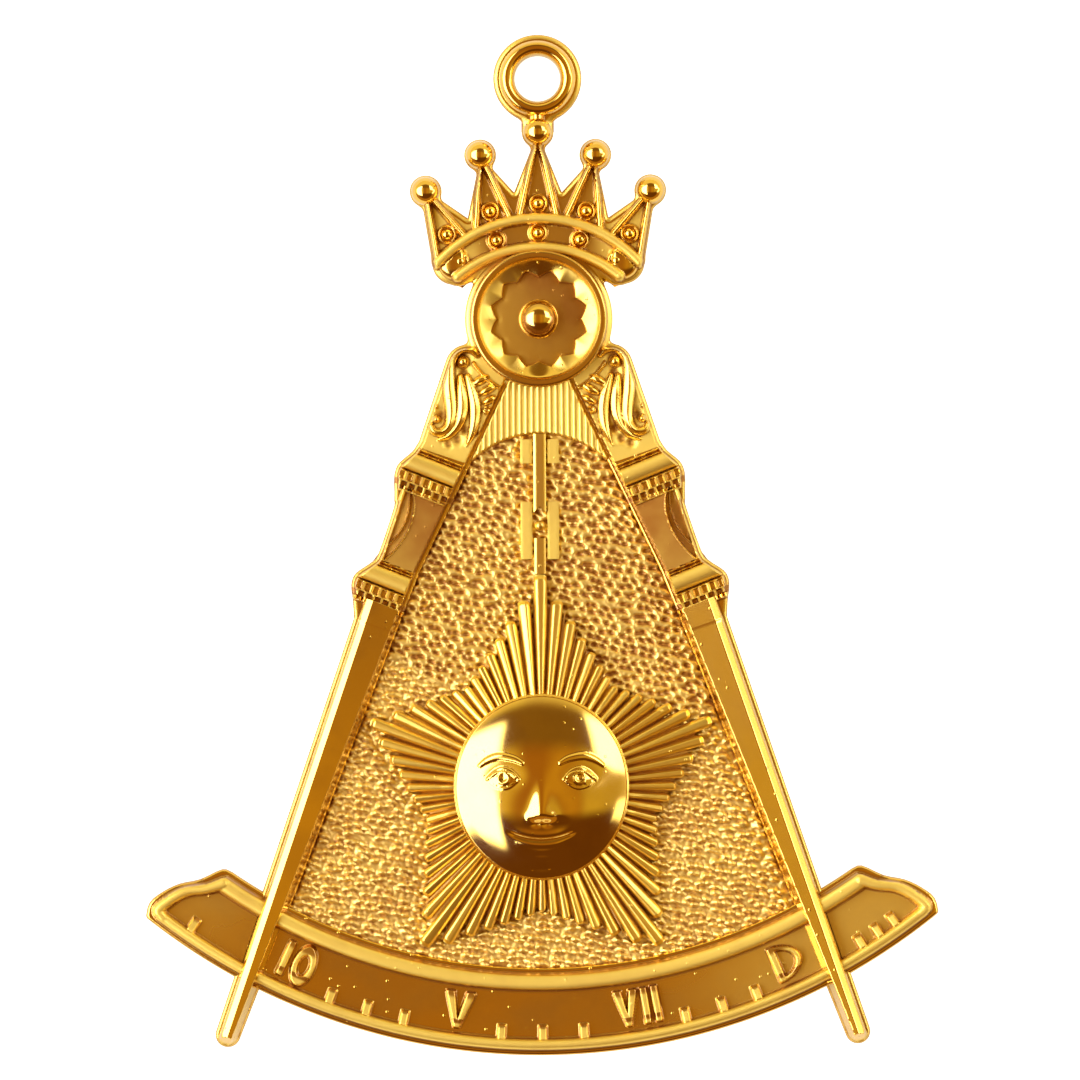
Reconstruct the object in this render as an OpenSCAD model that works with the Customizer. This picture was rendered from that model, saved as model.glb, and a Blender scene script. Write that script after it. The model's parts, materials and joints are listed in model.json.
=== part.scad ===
// Collar jewel in gilt metal: compasses open on a graduated quadrant, with a crown above the head
// and a sun on a star between the legs.
// It lies on its back, with +Y towards the suspension ring and +Z out of the face.

/* [Casting] */
// Height of the low lip that runs round the whole casting
lip_h = 1.2; // [0.9:0.1:1.6]
// Width of the lip outside the raised work
lip_w = 0.5; // [0.35:0.05:0.7]
// Width of the raised rails
rail_w = 1; // [0.7:0.05:1.2]
// Height of the raised rails above the lip
rail_h = 1.1; // [0.7:0.1:1.4]
// Width of the lip round a ball of the crown
ball_lip_w = 0.35; // [0.25:0.05:0.5]

/* [Suspension ring] */
// Radius of the suspension hole
eye_hole_r = 2; // [1.6:0.1:2.4]
// Width of the rounded bead round the hole
eye_bead_w = 1.4; // [1.1:0.1:1.8]
// Height of that bead above the lip
eye_bead_h = 1.2; // [0.8:0.1:1.5]
// Distance from the edge of the ring to the ball under it
neck_len = 0.8; // [0.4:0.1:1.2]
// Width of the neck that joins them
neck_w = 2.9; // [2.2:0.1:3.4]

/* [Crown] */
// Distance between the middles of the two outer balls
crown_w = 19.8; // [18:0.2:22]
// Height of the middle point above the upper rail
crown_point_h = 7.6; // [6.5:0.1:9]
// Height of the band between its two rails
band_h = 2.55; // [2.1:0.05:3]
// Radius of the upper rail
band_top_r = 12; // [11.5:0.1:14]
// Radius of the lower rail
band_bottom_r = 11.1; // [10.8:0.1:13]
// Radius of the balls on the points
crown_ball_r = 1.08; // [0.85:0.01:1.3]
// Height of the middle of those balls above the lip
crown_ball_z = 0.4; // [0.2:0.1:0.6]
// Radius of the beads on the band and in the points
crown_bead_r = 0.55; // [0.4:0.01:0.7]
// Height of the middle of those beads above the lip
crown_bead_z = 0.3; // [0.1:0.1:0.4]
// Radius of the crown's rounded lower corners
crown_corner_r = 1.9; // [1.6:0.1:2.1]
// Width of the ridges that edge each point
point_ridge_w = 0.55; // [0.4:0.05:0.7]
// Height of those ridges above the lip
point_ridge_h = 0.95; // [0.6:0.05:1.2]
// Angle between two beads of the band
bead_step = 20; // [17:0.5:21]
// Angle between two beads in the points
point_bead_step = 18.6; // [17:0.2:20]
// Distance of the beads in the points from the upper rail
point_bead_rise = 1.3; // [1:0.05:1.6]

/* [Compass head] */
// Radius of the round head with its lip
boss_r = 6.5; // [6.2:0.1:7.2]
// Height of the head's rim above the lip
boss_rim_h = 1.8; // [1.2:0.1:2.4]
// Width of the rim
boss_rim_w = 0.6; // [0.45:0.05:0.8]
// Radius of the toothed edge in the cup
tooth_r = 4.35; // [4:0.05:4.6]
// Depth of the teeth of that edge
tooth_depth = 0.6; // [0.4:0.05:0.8]
// Number of teeth
tooth_count = 12; // [10:1:16]
// Height of the cup's floor above the lip
cup_floor_h = 0.3; // [0.2:0.05:0.6]

/* [Pivot ball] */
// Radius of the ball in the middle of the head
pivot_ball_r = 1.3; // [1.1:0.05:1.5]
// Radius of the seat ring round the ball
pivot_seat_r = 1.75; // [1.6:0.05:2]
// Height of the seat ring
pivot_seat_h = 0.45; // [0.3:0.05:0.6]
// Radius of the ball's rivet
pivot_pin_r = 0.7; // [0.5:0.05:0.9]

/* [Compass legs] */
// Angle of each leg from the middle line
leg_angle = 18.8; // [18:0.1:19.6]
// Distance from the pivot line to a leg's outer edge
leg_reach = 7.1; // [6.8:0.05:7.4]
// How far the column's outer edge lies inside the leg's
column_inset = 0.25; // [0.1:0.05:0.4]
// How far the shoulder's outer edge lies inside the leg's
shoulder_inset = 0.5; // [0.3:0.05:0.7]
// How far the inner edge slopes inwards from the lower capital up to the pivot
inner_slope_w = 2.9; // [2.4:0.1:3.2]
// Length of a leg from the pivot to its tip
leg_len = 69.6; // [67:0.2:72]
// Width of a leg below its capitals
leg_w = 4.25; // [3.8:0.05:4.6]
// Width of a leg at its tip
leg_tip_w = 2.2; // [1.8:0.05:2.6]
// Height of a leg's long ridge above the lip
leg_ridge_h = 1.6; // [1:0.1:2]
// Height of the inner edge of its face above the lip
leg_inner_h = 1.15; // [0.7:0.05:1.5]
// Width of the bright outer bevel
leg_bevel_w = 0.6; // [0.4:0.05:0.8]

/* [Capitals and columns] */
// Distance from the pivot to the upper capital
upper_capital_v = 14.1; // [13.6:0.1:14.8]
// Distance from the pivot to the lower capital
lower_capital_v = 24.5; // [23.8:0.1:25.4]
// Tilt of both capitals against the leg
capital_tilt = 3; // [1:0.5:4]
// Height of the paired fillets on top of a capital
fillet_len = 0.65; // [0.5:0.05:0.8]
// Height of the round moulding of a capital
ovolo_len = 1.45; // [1.2:0.05:1.7]
// Height of each row of dentils
dentil_len = 0.85; // [0.7:0.05:1]
// Number of dentils in a row
dentil_count = 8; // [6:1:10]
// Groove between two mouldings of a capital
moulding_gap = 0.1; // [0.06:0.01:0.15]
// Height of one step between the mouldings
capital_step = 0.2; // [0.15:0.05:0.3]
// How far the upper capital swells beyond the column
upper_swell = 1; // [0.8:0.05:1.2]
// How far the lower capital swells beyond the leg
lower_swell = 1.3; // [1:0.05:1.5]
// Height of the capitals above the lip
capital_h = 1.5; // [1:0.1:2]
// Height of the column panel above the lip
panel_h = 1.2; // [0.8:0.1:1.4]
// Depth of the hollow curve in the column's outer edge
panel_hollow = 1.3; // [0.9:0.1:1.6]
// Width of the thin ridges that edge the column
panel_ridge_w = 0.4; // [0.3:0.05:0.5]

/* [Scroll shoulders] */
// Distance from the pivot to the top of a shoulder
shoulder_v = 4; // [3.6:0.1:4.6]
// Radius of the round head of a shoulder
shoulder_r = 1.95; // [1.7:0.05:2.2]
// Height of a shoulder's slab above the lip
shoulder_h = 0.7; // [0.5:0.05:0.9]
// Height of the scrolls above the slab
scroll_h = 1.1; // [0.8:0.1:1.4]
// Half width of a scroll band
scroll_half_w = 0.55; // [0.4:0.05:0.65]

/* [Quadrant] */
// Distance from the pivot down to the middle of the quadrant's arcs
arc_drop = 9.35; // [8.8:0.05:10]
// Outer radius of the quadrant with its lip
arc_r = 55.55; // [54:0.05:57]
// Width of the quadrant across lip, rails and band
arc_w = 7.75; // [7:0.05:8.4]
// Width of the inner rail
inner_rail_w = 1.55; // [1.2:0.05:1.8]
// Half angle that the quadrant spans
arc_half_angle = 39.5; // [38:0.1:41]
// Width of a graduation mark
tick_w = 0.6; // [0.4:0.05:0.8]
// Length of a graduation mark
tick_len = 1.3; // [1:0.1:1.8]
// Height of marks and numerals above the band
mark_h = 0.7; // [0.4:0.1:1]
// Height of the numerals on the band
numeral_len = 3.4; // [2.8:0.1:3.7]
// Width of the strokes of the numerals
stroke_w = 0.6; // [0.45:0.05:0.8]

/* [Fluted collar and chain] */
// Radius of the arch that ends the flutes
arch_r = 8.5; // [8:0.1:9.4]
// Distance from the pivot to the top of the arch
arch_v = 10.2; // [9.6:0.1:10.8]
// Drop of the arch from its top to its ends
arch_drop = 2.2; // [1.8:0.1:2.6]
// Distance between two flutes
flute_pitch = 0.53; // [0.45:0.01:0.65]
// Height of the flutes above the lip
flute_h = 0.7; // [0.5:0.05:0.9]
// Width of a flute
flute_w = 0.3; // [0.2:0.02:0.36]
// Height of the collar between its flutes above the lip
collar_h = 0.3; // [0.2:0.05:0.4]
// Width of the flat bars of the chain
link_w = 1.15; // [0.9:0.05:1.4]
// Distance between the two sides of a link
link_gap = 1.2; // [1:0.05:1.5]
// Height of the chain above the lip
chain_h = 0.75; // [0.5:0.05:1]

/* [Star] */
// Gap between the star's lower points and the quadrant
star_gap = 0.4; // [0.2:0.05:0.8]
// Reach of the star's upper point
star_top_r = 18.7; // [17.5:0.1:19.4]
// Reach of its two side points
star_side_r = 16.3; // [15.4:0.1:16.8]
// Reach of its two lower points
star_low_r = 17.8; // [16.8:0.1:18.2]
// Reach of the notches between the points
star_notch_r = 11; // [10.4:0.1:11.8]
// Number of rays
ray_count = 68; // [40:2:80]
// Thickness of the star under the sun
star_seat_h = 0.8; // [0.6:0.05:1.1]
// Height of a ray above that seat at the sun
ray_h = 0.7; // [0.5:0.05:1]
// Depth of the grooves between rays
groove_h = 0.45; // [0.25:0.05:0.6]
// Thickness of the star at the ends of its rays
star_edge_h = 0.85; // [0.65:0.05:1.1]

/* [Sun face] */
// Half width of the sun
sun_rx = 7.7; // [7.2:0.05:8.2]
// Half height of the sun
sun_ry = 8.2; // [7.7:0.05:8.7]
// Height of the sun's upright edge
sun_edge_h = 0.6; // [0.4:0.05:0.9]
// Height of the dome above that edge
dome_h = 2.2; // [1.8:0.1:2.7]
// Height of the nose on the dome
nose_h = 0.9; // [0.6:0.05:1.2]
// Radius of the sun's rivet
sun_pin_r = 1.2; // [0.9:0.1:1.6]

/* [Fits] */
// Clearance between a rivet and its hole
pin_clear = 0.08; // [0.05:0.01:0.15]
// Gap between an applied piece and its seat
seat_gap = 0.05; // [0.03:0.01:0.1]

/* [Hidden] */
$fn = 96;

// Level inside the plate where raised work is rooted
root_z = lip_h / 2;
eye_r = eye_hole_r + eye_bead_w + lip_w;
ball_lip_r = crown_ball_r + ball_lip_w;
crown_half = crown_w / 2;

// Heights along the middle line, from the pivot
band_bottom_y = boss_r - lip_w / 3;
band_top_y = band_bottom_y + band_h;
band_top_cy = band_top_y - band_top_r;
band_bottom_cy = band_bottom_y - band_bottom_r;
crown_top_y = band_top_y + crown_point_h;
eye_y = crown_top_y + neck_len + eye_r;
arc_cy = -arc_drop;
// Moves the pivot so that the middle of the whole outline lies at the origin
pivot_shift = -(eye_y + eye_r + arc_cy - arc_r) / 2;

// One side of the crown: reach and rise of the ball, then the feet of its two ridges.
// The rise is a share of crown_point_h, the rest are shares of crown_half.
crown_points = [
    [0, 1, -0.17, 0.17],
    [0.513, 0.735, 0.24, 0.555],
    [1, 0.32, 0.635, 0.895]
];
// Valleys between the points, as shares of the same two sizes
inner_valley = [0.212, 0.3];
outer_valley = [0.626, 0.005];

// Radii of the quadrant's parts
arc_in_r = arc_r - arc_w;
inner_rail_r = arc_in_r + lip_w + inner_rail_w / 2;
outer_rail_r = arc_r - lip_w - rail_w / 2;
band_in_r = inner_rail_r + inner_rail_w / 2;
band_out_r = outer_rail_r - rail_w / 2;
// The shaped end of the quadrant: share of its half angle and share of its width from the inner edge
wing_profile = [
    [0.881, 0],
    [0.909, 0.04],
    [0.94, 0.28],
    [0.974, 0.46],
    [0.994, 0.65],
    [1.002, 0.84],
    [0.985, 1.02]
];

// Places of the graduation marks, in degrees from the middle line
tick_angles = [-35, -20.4, -16.8, -13.2, -3.9, 0, 3.9, 13.6, 17.2, 20.6, 31.5, 33.4, 35.2];

column_edge = leg_reach - column_inset;
shoulder_edge = leg_reach - shoulder_inset;
capital_len = fillet_len + ovolo_len + 2 * dentil_len + 2 * moulding_gap;
// Swell of a capital: share of its length down, then share of its swell
capital_swell = [
    [-0.14, 0],
    [0.12, 0.25],
    [0.44, 0.93],
    [0.66, 1],
    [0.88, 0.75],
    [1.08, 0.42],
    [1.29, 0.15],
    [1.42, 0]
];

// The star hangs as low as its lower points let it
star_low_angle = 53.8;
sun_y = arc_cy + star_low_r * sin(star_low_angle)
    - sqrt(pow(arc_in_r - star_gap, 2) - pow(star_low_r * cos(star_low_angle), 2));
star_z = lip_h + seat_gap;
sun_z = star_z + star_seat_h + seat_gap;
sun_top_z = sun_z + sun_edge_h;
sun_hole_r = sun_pin_r + pin_clear;
pivot_hole_r = pivot_pin_r + pin_clear;
cup_z = lip_h + cup_floor_h;

// The right half of the star's outline from its lowest notch: angle from the right, then reach
star_outline = [
    [-90, star_notch_r],
    [-star_low_angle, star_low_r],
    [-16, star_notch_r * 0.96],
    [20.5, star_side_r],
    [53.5, star_notch_r],
    [90, star_top_r]
];

// Share of the half width and share of the height round a rounded ridge
ridge_profile = [[-1, 0], [-0.82, 0.6], [-0.35, 1], [0.35, 1], [0.82, 0.6], [1, 0]];

// The scroll band of a shoulder: share across, share down, share of the half width and share of the height
hood_path = [
    [0.36, 0.17, 0.7, 0.6],
    [0.5, 0.06, 0.9, 0.85],
    [0.78, 0.05, 1, 1],
    [0.96, 0.18, 1, 1],
    [0.95, 0.34, 1, 1],
    [0.8, 0.5, 1.05, 1],
    [0.67, 0.65, 1.1, 1],
    [0.6, 0.76, 1, 0.95],
    [0.7, 0.85, 0.9, 0.85],
    [0.9, 0.93, 0.6, 0.5]
];
tail_path = [
    [0.7, 0.33, 0.8, 0.7],
    [0.52, 0.48, 1, 1],
    [0.38, 0.62, 1, 0.95],
    [0.29, 0.77, 0.85, 0.8],
    [0.3, 0.9, 0.4, 0.4]
];
// The three leaf lobes beside the head: start, then end, each as share across and share down
leaf_lobes = [
    [[0.5, 0.3], [0.16, 0.34]],
    [[0.42, 0.42], [0.1, 0.46]],
    [[0.36, 0.55], [0.12, 0.6]]
];

// Adds a third coordinate to a flat point
function at_height(p, z) = [p[0], p[1], z];
// A point of the quadrant, by its radius and its angle from straight down
function on_arc(r, a) = [r * sin(a), arc_cy - r * cos(a)];
// A point of the right leg, by its distance from the pivot line and its length from the pivot
function on_leg(u, v) = [
    u * cos(leg_angle) + v * sin(leg_angle),
    u * sin(leg_angle) - v * cos(leg_angle)
];
// A point of the crown, by its radius round the upper rail's middle and its angle from straight up
function on_crown(r, a) = [r * sin(a), band_top_cy + r * cos(a)];
// A point of the crown given as shares of its half width and of its points' height
function crown_share(x, y) = [x * crown_half, band_top_y + y * crown_point_h];
// The foot of a ridge on the upper rail, by its share of the half width
function rail_foot(x) = [x * crown_half, band_top_cy + sqrt(pow(band_top_r, 2) - pow(x * crown_half, 2))];
// The two directions of a line through neighbouring rows of a path
function step_of(path, i) = path[min(i + 1, len(path) - 1)] - path[max(i - 1, 0)];
function side_of(d) = [d[1], -d[0]] / norm([d[0], d[1]]);
// One ring of a ridge: rows hold x, y, half width and height above the lip
function ridge_ring(row, side) = [
    for (p = ridge_profile) [
        row[0] + side[0] * p[0] * row[2],
        row[1] + side[1] * p[0] * row[2],
        p[1] == 0 ? root_z : lip_h + p[1] * row[3]
    ]
];
// A straight ridge from one flat point to another
function straight(a, b, half_w, h) = [[a[0], a[1], half_w, h], [b[0], b[1], half_w, h]];
// Half the width of the fluted collar at a height below the pivot
function collar_half(y) = inner_edge(-y / cos(leg_angle)) / cos(leg_angle) - y * tan(leg_angle);
// How far below the pivot the collar is as wide as a distance from the middle line
function collar_drop(x) = (x - collar_half(0)) / (collar_half(-1) - collar_half(0));
// The swelling edge of a capital from its foot up, between the edges above and below it
function swell_edge(v, above, below, swell) = [
    for (i = [len(capital_swell) - 1:-1:0])
        let (down = capital_swell[i][0], base = above + (below - above) * min(max(down, 0), 1))
        [base + swell * capital_swell[i][1], -v - down * capital_len]
];
// Distance of a leg's inner edge from the pivot line, at a length along the leg
function inner_edge(v) =
    v < lower_capital_v
    ? leg_reach - leg_w - inner_slope_w * (lower_capital_v - v) / lower_capital_v
    : leg_reach - leg_w + (leg_w - leg_tip_w) * (v - lower_capital_v) / (leg_len - lower_capital_v);
// Reach of the star in a direction, on straight edges between its points and notches
function star_side(a, i) =
    a > star_outline[i + 1][0] && i < len(star_outline) - 2 ? star_side(a, i + 1) : i;
function star_chord(a, p, q) =
    p[1] * q[1] * sin(q[0] - p[0]) / (p[1] * sin(a - p[0]) + q[1] * sin(q[0] - a));
function star_reach(a) =
    let (f = asin(sin(a)), i = star_side(f, 0)) star_chord(f, star_outline[i], star_outline[i + 1]);
// Height of the dome at a place given as shares of its half width and half height
function bump(x, y, cx, cy, wx, wy) = exp(-pow((x - cx) / wx, 2) - pow((y - cy) / wy, 2));
function dome(x, y) = dome_h * pow(max(0, 1 - x * x - y * y), 0.6);
function nose(x, y) =
    nose_h * (0.75 * bump(x, y, 0, -0.2, 0.08, 0.24) + 0.6 * bump(x, y, 0, -0.34, 0.13, 0.08));
function brow(x, y) = 0.35 * nose_h * bump(x, y - 0.3 * pow(x - 0.44, 2), 0.44, 0.34, 0.2, 0.05);
function eye(x, y) =
    nose_h * (0.4 * bump(x, y, 0.43, 0.12, 0.1, 0.07) - 0.35 * bump(x, y, 0.43, 0.12, 0.2, 0.13));
function mouth(x, y) =
    nose_h * (0.2 * bump(x, y, 0, -0.66, 0.2, 0.07)
        - 0.35 * bump(x, y - 0.75 * x * x, 0, -0.57, 0.34, 0.035));
function face(x, y) = dome(x, y) + nose(x, y) + brow(abs(x), y) + eye(abs(x), y) + mouth(x, y);

// One ring of the dome: the sun's edge drawn in to a share of its size
function dome_ring(edge, share) = [
    for (p = edge) at_height(share * p, sun_top_z + face(share * p[0] / sun_rx, share * p[1] / sun_ry))
];

// A solid skinned over rings of equal count, closed by a flat face at each end
module loft(rings) {
    n = len(rings[0]);
    last = len(rings) - 1;
    polyhedron(
        points = [for (r = rings) each r],
        faces = concat(
            [[for (i = [0:n - 1]) i]],
            [for (k = [0:last - 1], i = [0:n - 1]) each [
                [k * n + i, (k + 1) * n + i, (k + 1) * n + (i + 1) % n],
                [k * n + i, (k + 1) * n + (i + 1) % n, k * n + (i + 1) % n]
            ]],
            [[for (i = [n - 1:-1:0]) last * n + i]]
        )
    );
}

// A solid skinned over closed rings round an upright axis, between a middle point below and one above
module turned_skin(rings, low, high) {
    n = len(rings[0]);
    last = len(rings) - 1;
    top = (last + 1) * n + 1;
    polyhedron(
        points = concat([low], [for (r = rings) each r], [high]),
        faces = concat(
            [for (i = [0:n - 1]) [0, 1 + i, 1 + (i + 1) % n]],
            [for (k = [0:last - 1], i = [0:n - 1]) each [
                [1 + k * n + i, 1 + (k + 1) * n + i, 1 + (k + 1) * n + (i + 1) % n],
                [1 + k * n + i, 1 + (k + 1) * n + (i + 1) % n, 1 + k * n + (i + 1) % n]
            ]],
            [for (i = [0:n - 1]) [1 + last * n + i, top, 1 + last * n + (i + 1) % n]]
        )
    );
}

// A rounded ridge along a path
module ridge(path) {
    loft([for (i = [0:len(path) - 1]) ridge_ring(path[i], side_of(step_of(path, i)))]);
}

// A rounded rail along an arc round the upright axis, centred on straight up
module rail(r, w, h, half_angle) {
    rotate([0, 0, 90 - half_angle])
        rotate_extrude(angle = 2 * half_angle)
            polygon([for (p = ridge_profile) [r + p[0] * w / 2, p[1] == 0 ? root_z : lip_h + p[1] * h]]);
}

// A ball sunk into the plate, with its middle at a height above the lip
module bead(p, r, h) {
    translate([p[0], p[1], lip_h + h])
        sphere(r);
}

// Everything inside is drawn again on the other side of the middle line
module both_sides() {
    children();
    mirror([1, 0, 0])
        children();
}

// Everything inside is drawn along the right leg.
// There x is the distance from the pivot line and y runs back to the pivot.
module along_leg() {
    rotate([0, 0, leg_angle])
        children();
}

// The ring that the jewel hangs from
module suspension_ring() {
    translate([0, eye_y, 0])
        rotate_extrude()
            polygon(concat(
                [[eye_hole_r, 0], [eye_hole_r, lip_h]],
                [for (p = ridge_profile) if (p[1] > 0)
                    [eye_hole_r + (p[0] + 1) * eye_bead_w / 2, lip_h + p[1] * eye_bead_h]],
                [[eye_r - lip_w, lip_h], [eye_r, lip_h], [eye_r, 0]]
            ));
}

// Flat outline of the crown
module crown_outline() {
    second = crown_points[1];
    outer = crown_points[2];
    foot = rail_foot(outer[3]);
    corner = foot + [lip_w - crown_corner_r, 0];
    edge = [
        corner - [0, crown_corner_r],
        foot + [lip_w, 0],
        crown_share(outer[0], outer[1]) + [lip_w, 0],
        crown_share(outer[0], outer[1]) - [lip_w / 2, 0],
        crown_share(outer_valley[0], outer_valley[1]),
        crown_share(second[0], second[1]),
        crown_share(inner_valley[0], inner_valley[1])
    ];
    difference() {
        union() {
            polygon(concat(
                edge,
                [crown_share(0, 1)],
                [for (i = [len(edge) - 1:-1:0]) [-edge[i][0], edge[i][1]]],
                [[0, 0]]
            ));
            for (side = [-1, 1])
                translate([side * corner[0], corner[1]])
                    circle(crown_corner_r);
        }
        translate([0, band_bottom_cy])
            circle(band_bottom_r - rail_w / 2 - lip_w);
    }
    for (p = crown_points)
        for (side = [-1, 1])
            translate([side * p[0] * crown_half, crown_share(0, p[1])[1]])
                circle(ball_lip_r);
}

// Rails, ridges, balls and beads of the crown
module crown_relief() {
    top_half_angle = asin(0.9 * crown_half / band_top_r);
    bottom_half_angle = asin(0.77 * crown_half / band_bottom_r);
    translate([0, band_top_cy, 0])
        rail(band_top_r, rail_w, rail_h, top_half_angle);
    translate([0, band_bottom_cy, 0])
        rail(band_bottom_r, rail_w, rail_h, bottom_half_angle);
    both_sides() {
        for (p = crown_points)
            for (foot = [p[2], p[3]])
                ridge(straight(crown_share(p[0], p[1]), rail_foot(foot), point_ridge_w / 2, point_ridge_h));
        for (p = crown_points)
            bead(crown_share(p[0], p[1]), crown_ball_r, crown_ball_z);
        for (k = [0:2]) {
            bead(on_crown(band_top_r - band_h / 2, k * bead_step), crown_bead_r, crown_bead_z);
            bead(on_crown(band_top_r + point_bead_rise, k * point_bead_step), crown_bead_r, crown_bead_z);
        }
    }
}

// Flat outline of the toothed recess in the cup
module tooth_outline() {
    polygon([for (i = [0:2 * tooth_count - 1])
        (tooth_r - (i % 2) * tooth_depth) * [cos(i * 180 / tooth_count), sin(i * 180 / tooth_count)]]);
}

// The round head of the compasses, a cup with a toothed edge
module compass_head() {
    rim_z = lip_h + boss_rim_h;
    ledge_z = lip_h + 0.5 * boss_rim_h;
    rim_r = boss_r - lip_w - boss_rim_w / 2;
    difference() {
        rotate_extrude()
            polygon([
                [0, root_z],
                [rim_r + 0.6 * boss_rim_w, root_z],
                [rim_r + 0.5 * boss_rim_w, lip_h + 0.7 * boss_rim_h],
                [rim_r + 0.25 * boss_rim_w, rim_z],
                [rim_r - 0.25 * boss_rim_w, rim_z],
                [rim_r - 0.6 * boss_rim_w, lip_h + 0.8 * boss_rim_h],
                [tooth_r, ledge_z],
                [0, ledge_z]
            ]);
        translate([0, 0, cup_z])
            linear_extrude(boss_rim_h)
                tooth_outline();
    }
}

// Flat outline of one leg with its shoulder and the swells of its capitals
module leg_outline() {
    tip_r = leg_tip_w / 2;
    polygon(concat(
        [
            [inner_edge(lower_capital_v), -lower_capital_v],
            [leg_reach - leg_tip_w, -leg_len + tip_r],
            [leg_reach, -leg_len + tip_r]
        ],
        swell_edge(lower_capital_v, column_edge, leg_reach, lower_swell),
        swell_edge(upper_capital_v, shoulder_edge, column_edge, upper_swell),
        [
            [shoulder_edge, -shoulder_v - shoulder_r],
            [inner_edge(shoulder_v), -shoulder_v - shoulder_r]
        ]
    ));
    translate([leg_reach - tip_r, -leg_len + tip_r])
        circle(tip_r);
    translate([shoulder_edge - shoulder_r, -shoulder_v - shoulder_r])
        circle(shoulder_r);
}

// One bevelled leg below its capitals, with a rounded tip
module leg_bar() {
    start_v = lower_capital_v + capital_len - dentil_len;
    tip_v = leg_len - leg_tip_w / 2;
    // Share of the section that is left towards the tip, with the distance from the tip
    tip_rows = [[0, 1], [0.55, 0.85], [0.85, 0.5]];
    loft(concat(
        [leg_section(start_v, 1)],
        [for (t = tip_rows) leg_section(tip_v + t[0] * leg_tip_w / 2, t[1])]
    ));
}

// A section across the leg bar, narrowed about its middle by a share
function leg_section(v, share) =
    let (
        out = leg_reach - lip_w / 2,
        in = inner_edge(v) + lip_w,
        mid = (out + in) / 2,
        bevel = min(leg_bevel_w, 0.35 * (out - in)),
        row = [[out, 0], [out - bevel, leg_ridge_h], [in + bevel / 2, leg_inner_h], [in, 0]]
    )
    [for (p = row) [mid + share * (p[0] - mid), -v, p[1] == 0 ? root_z : lip_h + share * p[1]]];

// A plain block across the leg, between two distances from the pivot line
module leg_block(in, out, v, len, h) {
    translate([in, -v - len, root_z])
        cube([out - in, len, lip_h + h - root_z]);
}

// A capital: paired fillets, a round moulding and two rows of dentils
module capital(v, in, out, swell) {
    fillet = fillet_len / 3;
    ovolo_v = v + fillet_len + moulding_gap;
    dentil_v = ovolo_v + ovolo_len + moulding_gap;
    side = out - 0.4 * swell;
    pitch = (side - in) / dentil_count;
    top_h = capital_h - capital_step;
    slab_h = capital_h - 3 * capital_step;
    translate([out, -v, 0])
        rotate([0, 0, capital_tilt])
            translate([-out, v, 0]) {
                for (k = [0, 2])
                    leg_block(in, out - (0.85 - 0.1 * k) * swell, v + k * fillet, fillet, top_h);
                leg_block(in, side, ovolo_v, capital_len - fillet_len - moulding_gap, slab_h);
                leg_block(in, out - 0.8 * swell, v + fillet, fillet_len, slab_h);
                translate([in, -ovolo_v - ovolo_len / 2, lip_h + capital_h - ovolo_len / 2])
                    rotate([0, 90, 0])
                        cylinder(r = ovolo_len / 2, h = out - in);
                // The second row stands lower and half a step further out
                for (row = [0, 1], k = [0:dentil_count - 1]) {
                    start = in + (k + 0.15 + 0.25 * row) * pitch;
                    leg_block(start, start + pitch / 2, dentil_v + row * dentil_len, dentil_len,
                        top_h - row * capital_step);
                }
            }
}

// The panel of the column between the capitals, with a hollow outer edge
module column_panel() {
    top_v = upper_capital_v + capital_len - dentil_len;
    span = lower_capital_v + fillet_len - top_v;
    steps = 8;
    ridge_u = column_edge - lip_w - panel_ridge_w / 2;
    edge = [for (i = [0:steps]) [ridge_u - panel_hollow * sin(180 * i / steps), -top_v - span * i / steps]];
    translate([0, 0, root_z])
        linear_extrude(lip_h + panel_h - root_z)
            polygon(concat(
                [[inner_edge(top_v) + lip_w, -top_v], [inner_edge(top_v + span) + lip_w, -top_v - span]],
                [for (i = [steps:-1:0]) edge[i]]
            ));
    ridge([for (p = edge) [p[0], p[1], panel_ridge_w / 2, panel_h + capital_step]]);
    ridge([
        [column_edge - lip_w / 2, -top_v, panel_ridge_w / 2, 0.5 * panel_h],
        [column_edge - lip_w / 2, -top_v - span, panel_ridge_w / 2, 0.5 * panel_h]
    ]);
}

// A place on the shoulder by its share across and its share down
function on_shoulder(x, y) = [
    shoulder_in + x * (shoulder_edge - lip_w - shoulder_in),
    -shoulder_v - y * (upper_capital_v - shoulder_v)
];
shoulder_in = inner_edge(upper_capital_v / 2) + lip_w;
function scroll_rows(path) = [
    for (p = path) concat(on_shoulder(p[0], p[1]), [p[2] * scroll_half_w, shoulder_h + p[3] * scroll_h])
];

// The carved shoulder: a slab, an S scroll with a tail and three leaf lobes
module shoulder() {
    translate([0, 0, root_z])
        linear_extrude(lip_h + shoulder_h - root_z)
            polygon([
                on_shoulder(0.02, 0.4),
                on_shoulder(0.14, 1.02),
                on_shoulder(1, 1.02),
                on_shoulder(0.95, 0.15),
                on_shoulder(0.35, 0.15)
            ]);
    ridge(scroll_rows(hood_path));
    ridge(scroll_rows(tail_path));
    for (lobe = leaf_lobes)
        ridge(scroll_rows([
            [lobe[0][0], lobe[0][1], 0.75, 0.3],
            [lobe[1][0], lobe[1][1], 0.6, 0.15]
        ]));
    bead(on_shoulder(0.68, 0.2), 0.45 * shoulder_r, shoulder_h);
    bead(on_shoulder(0.88, 0.7), 0.35 * shoulder_r, 0.9 * shoulder_h);
}

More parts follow.
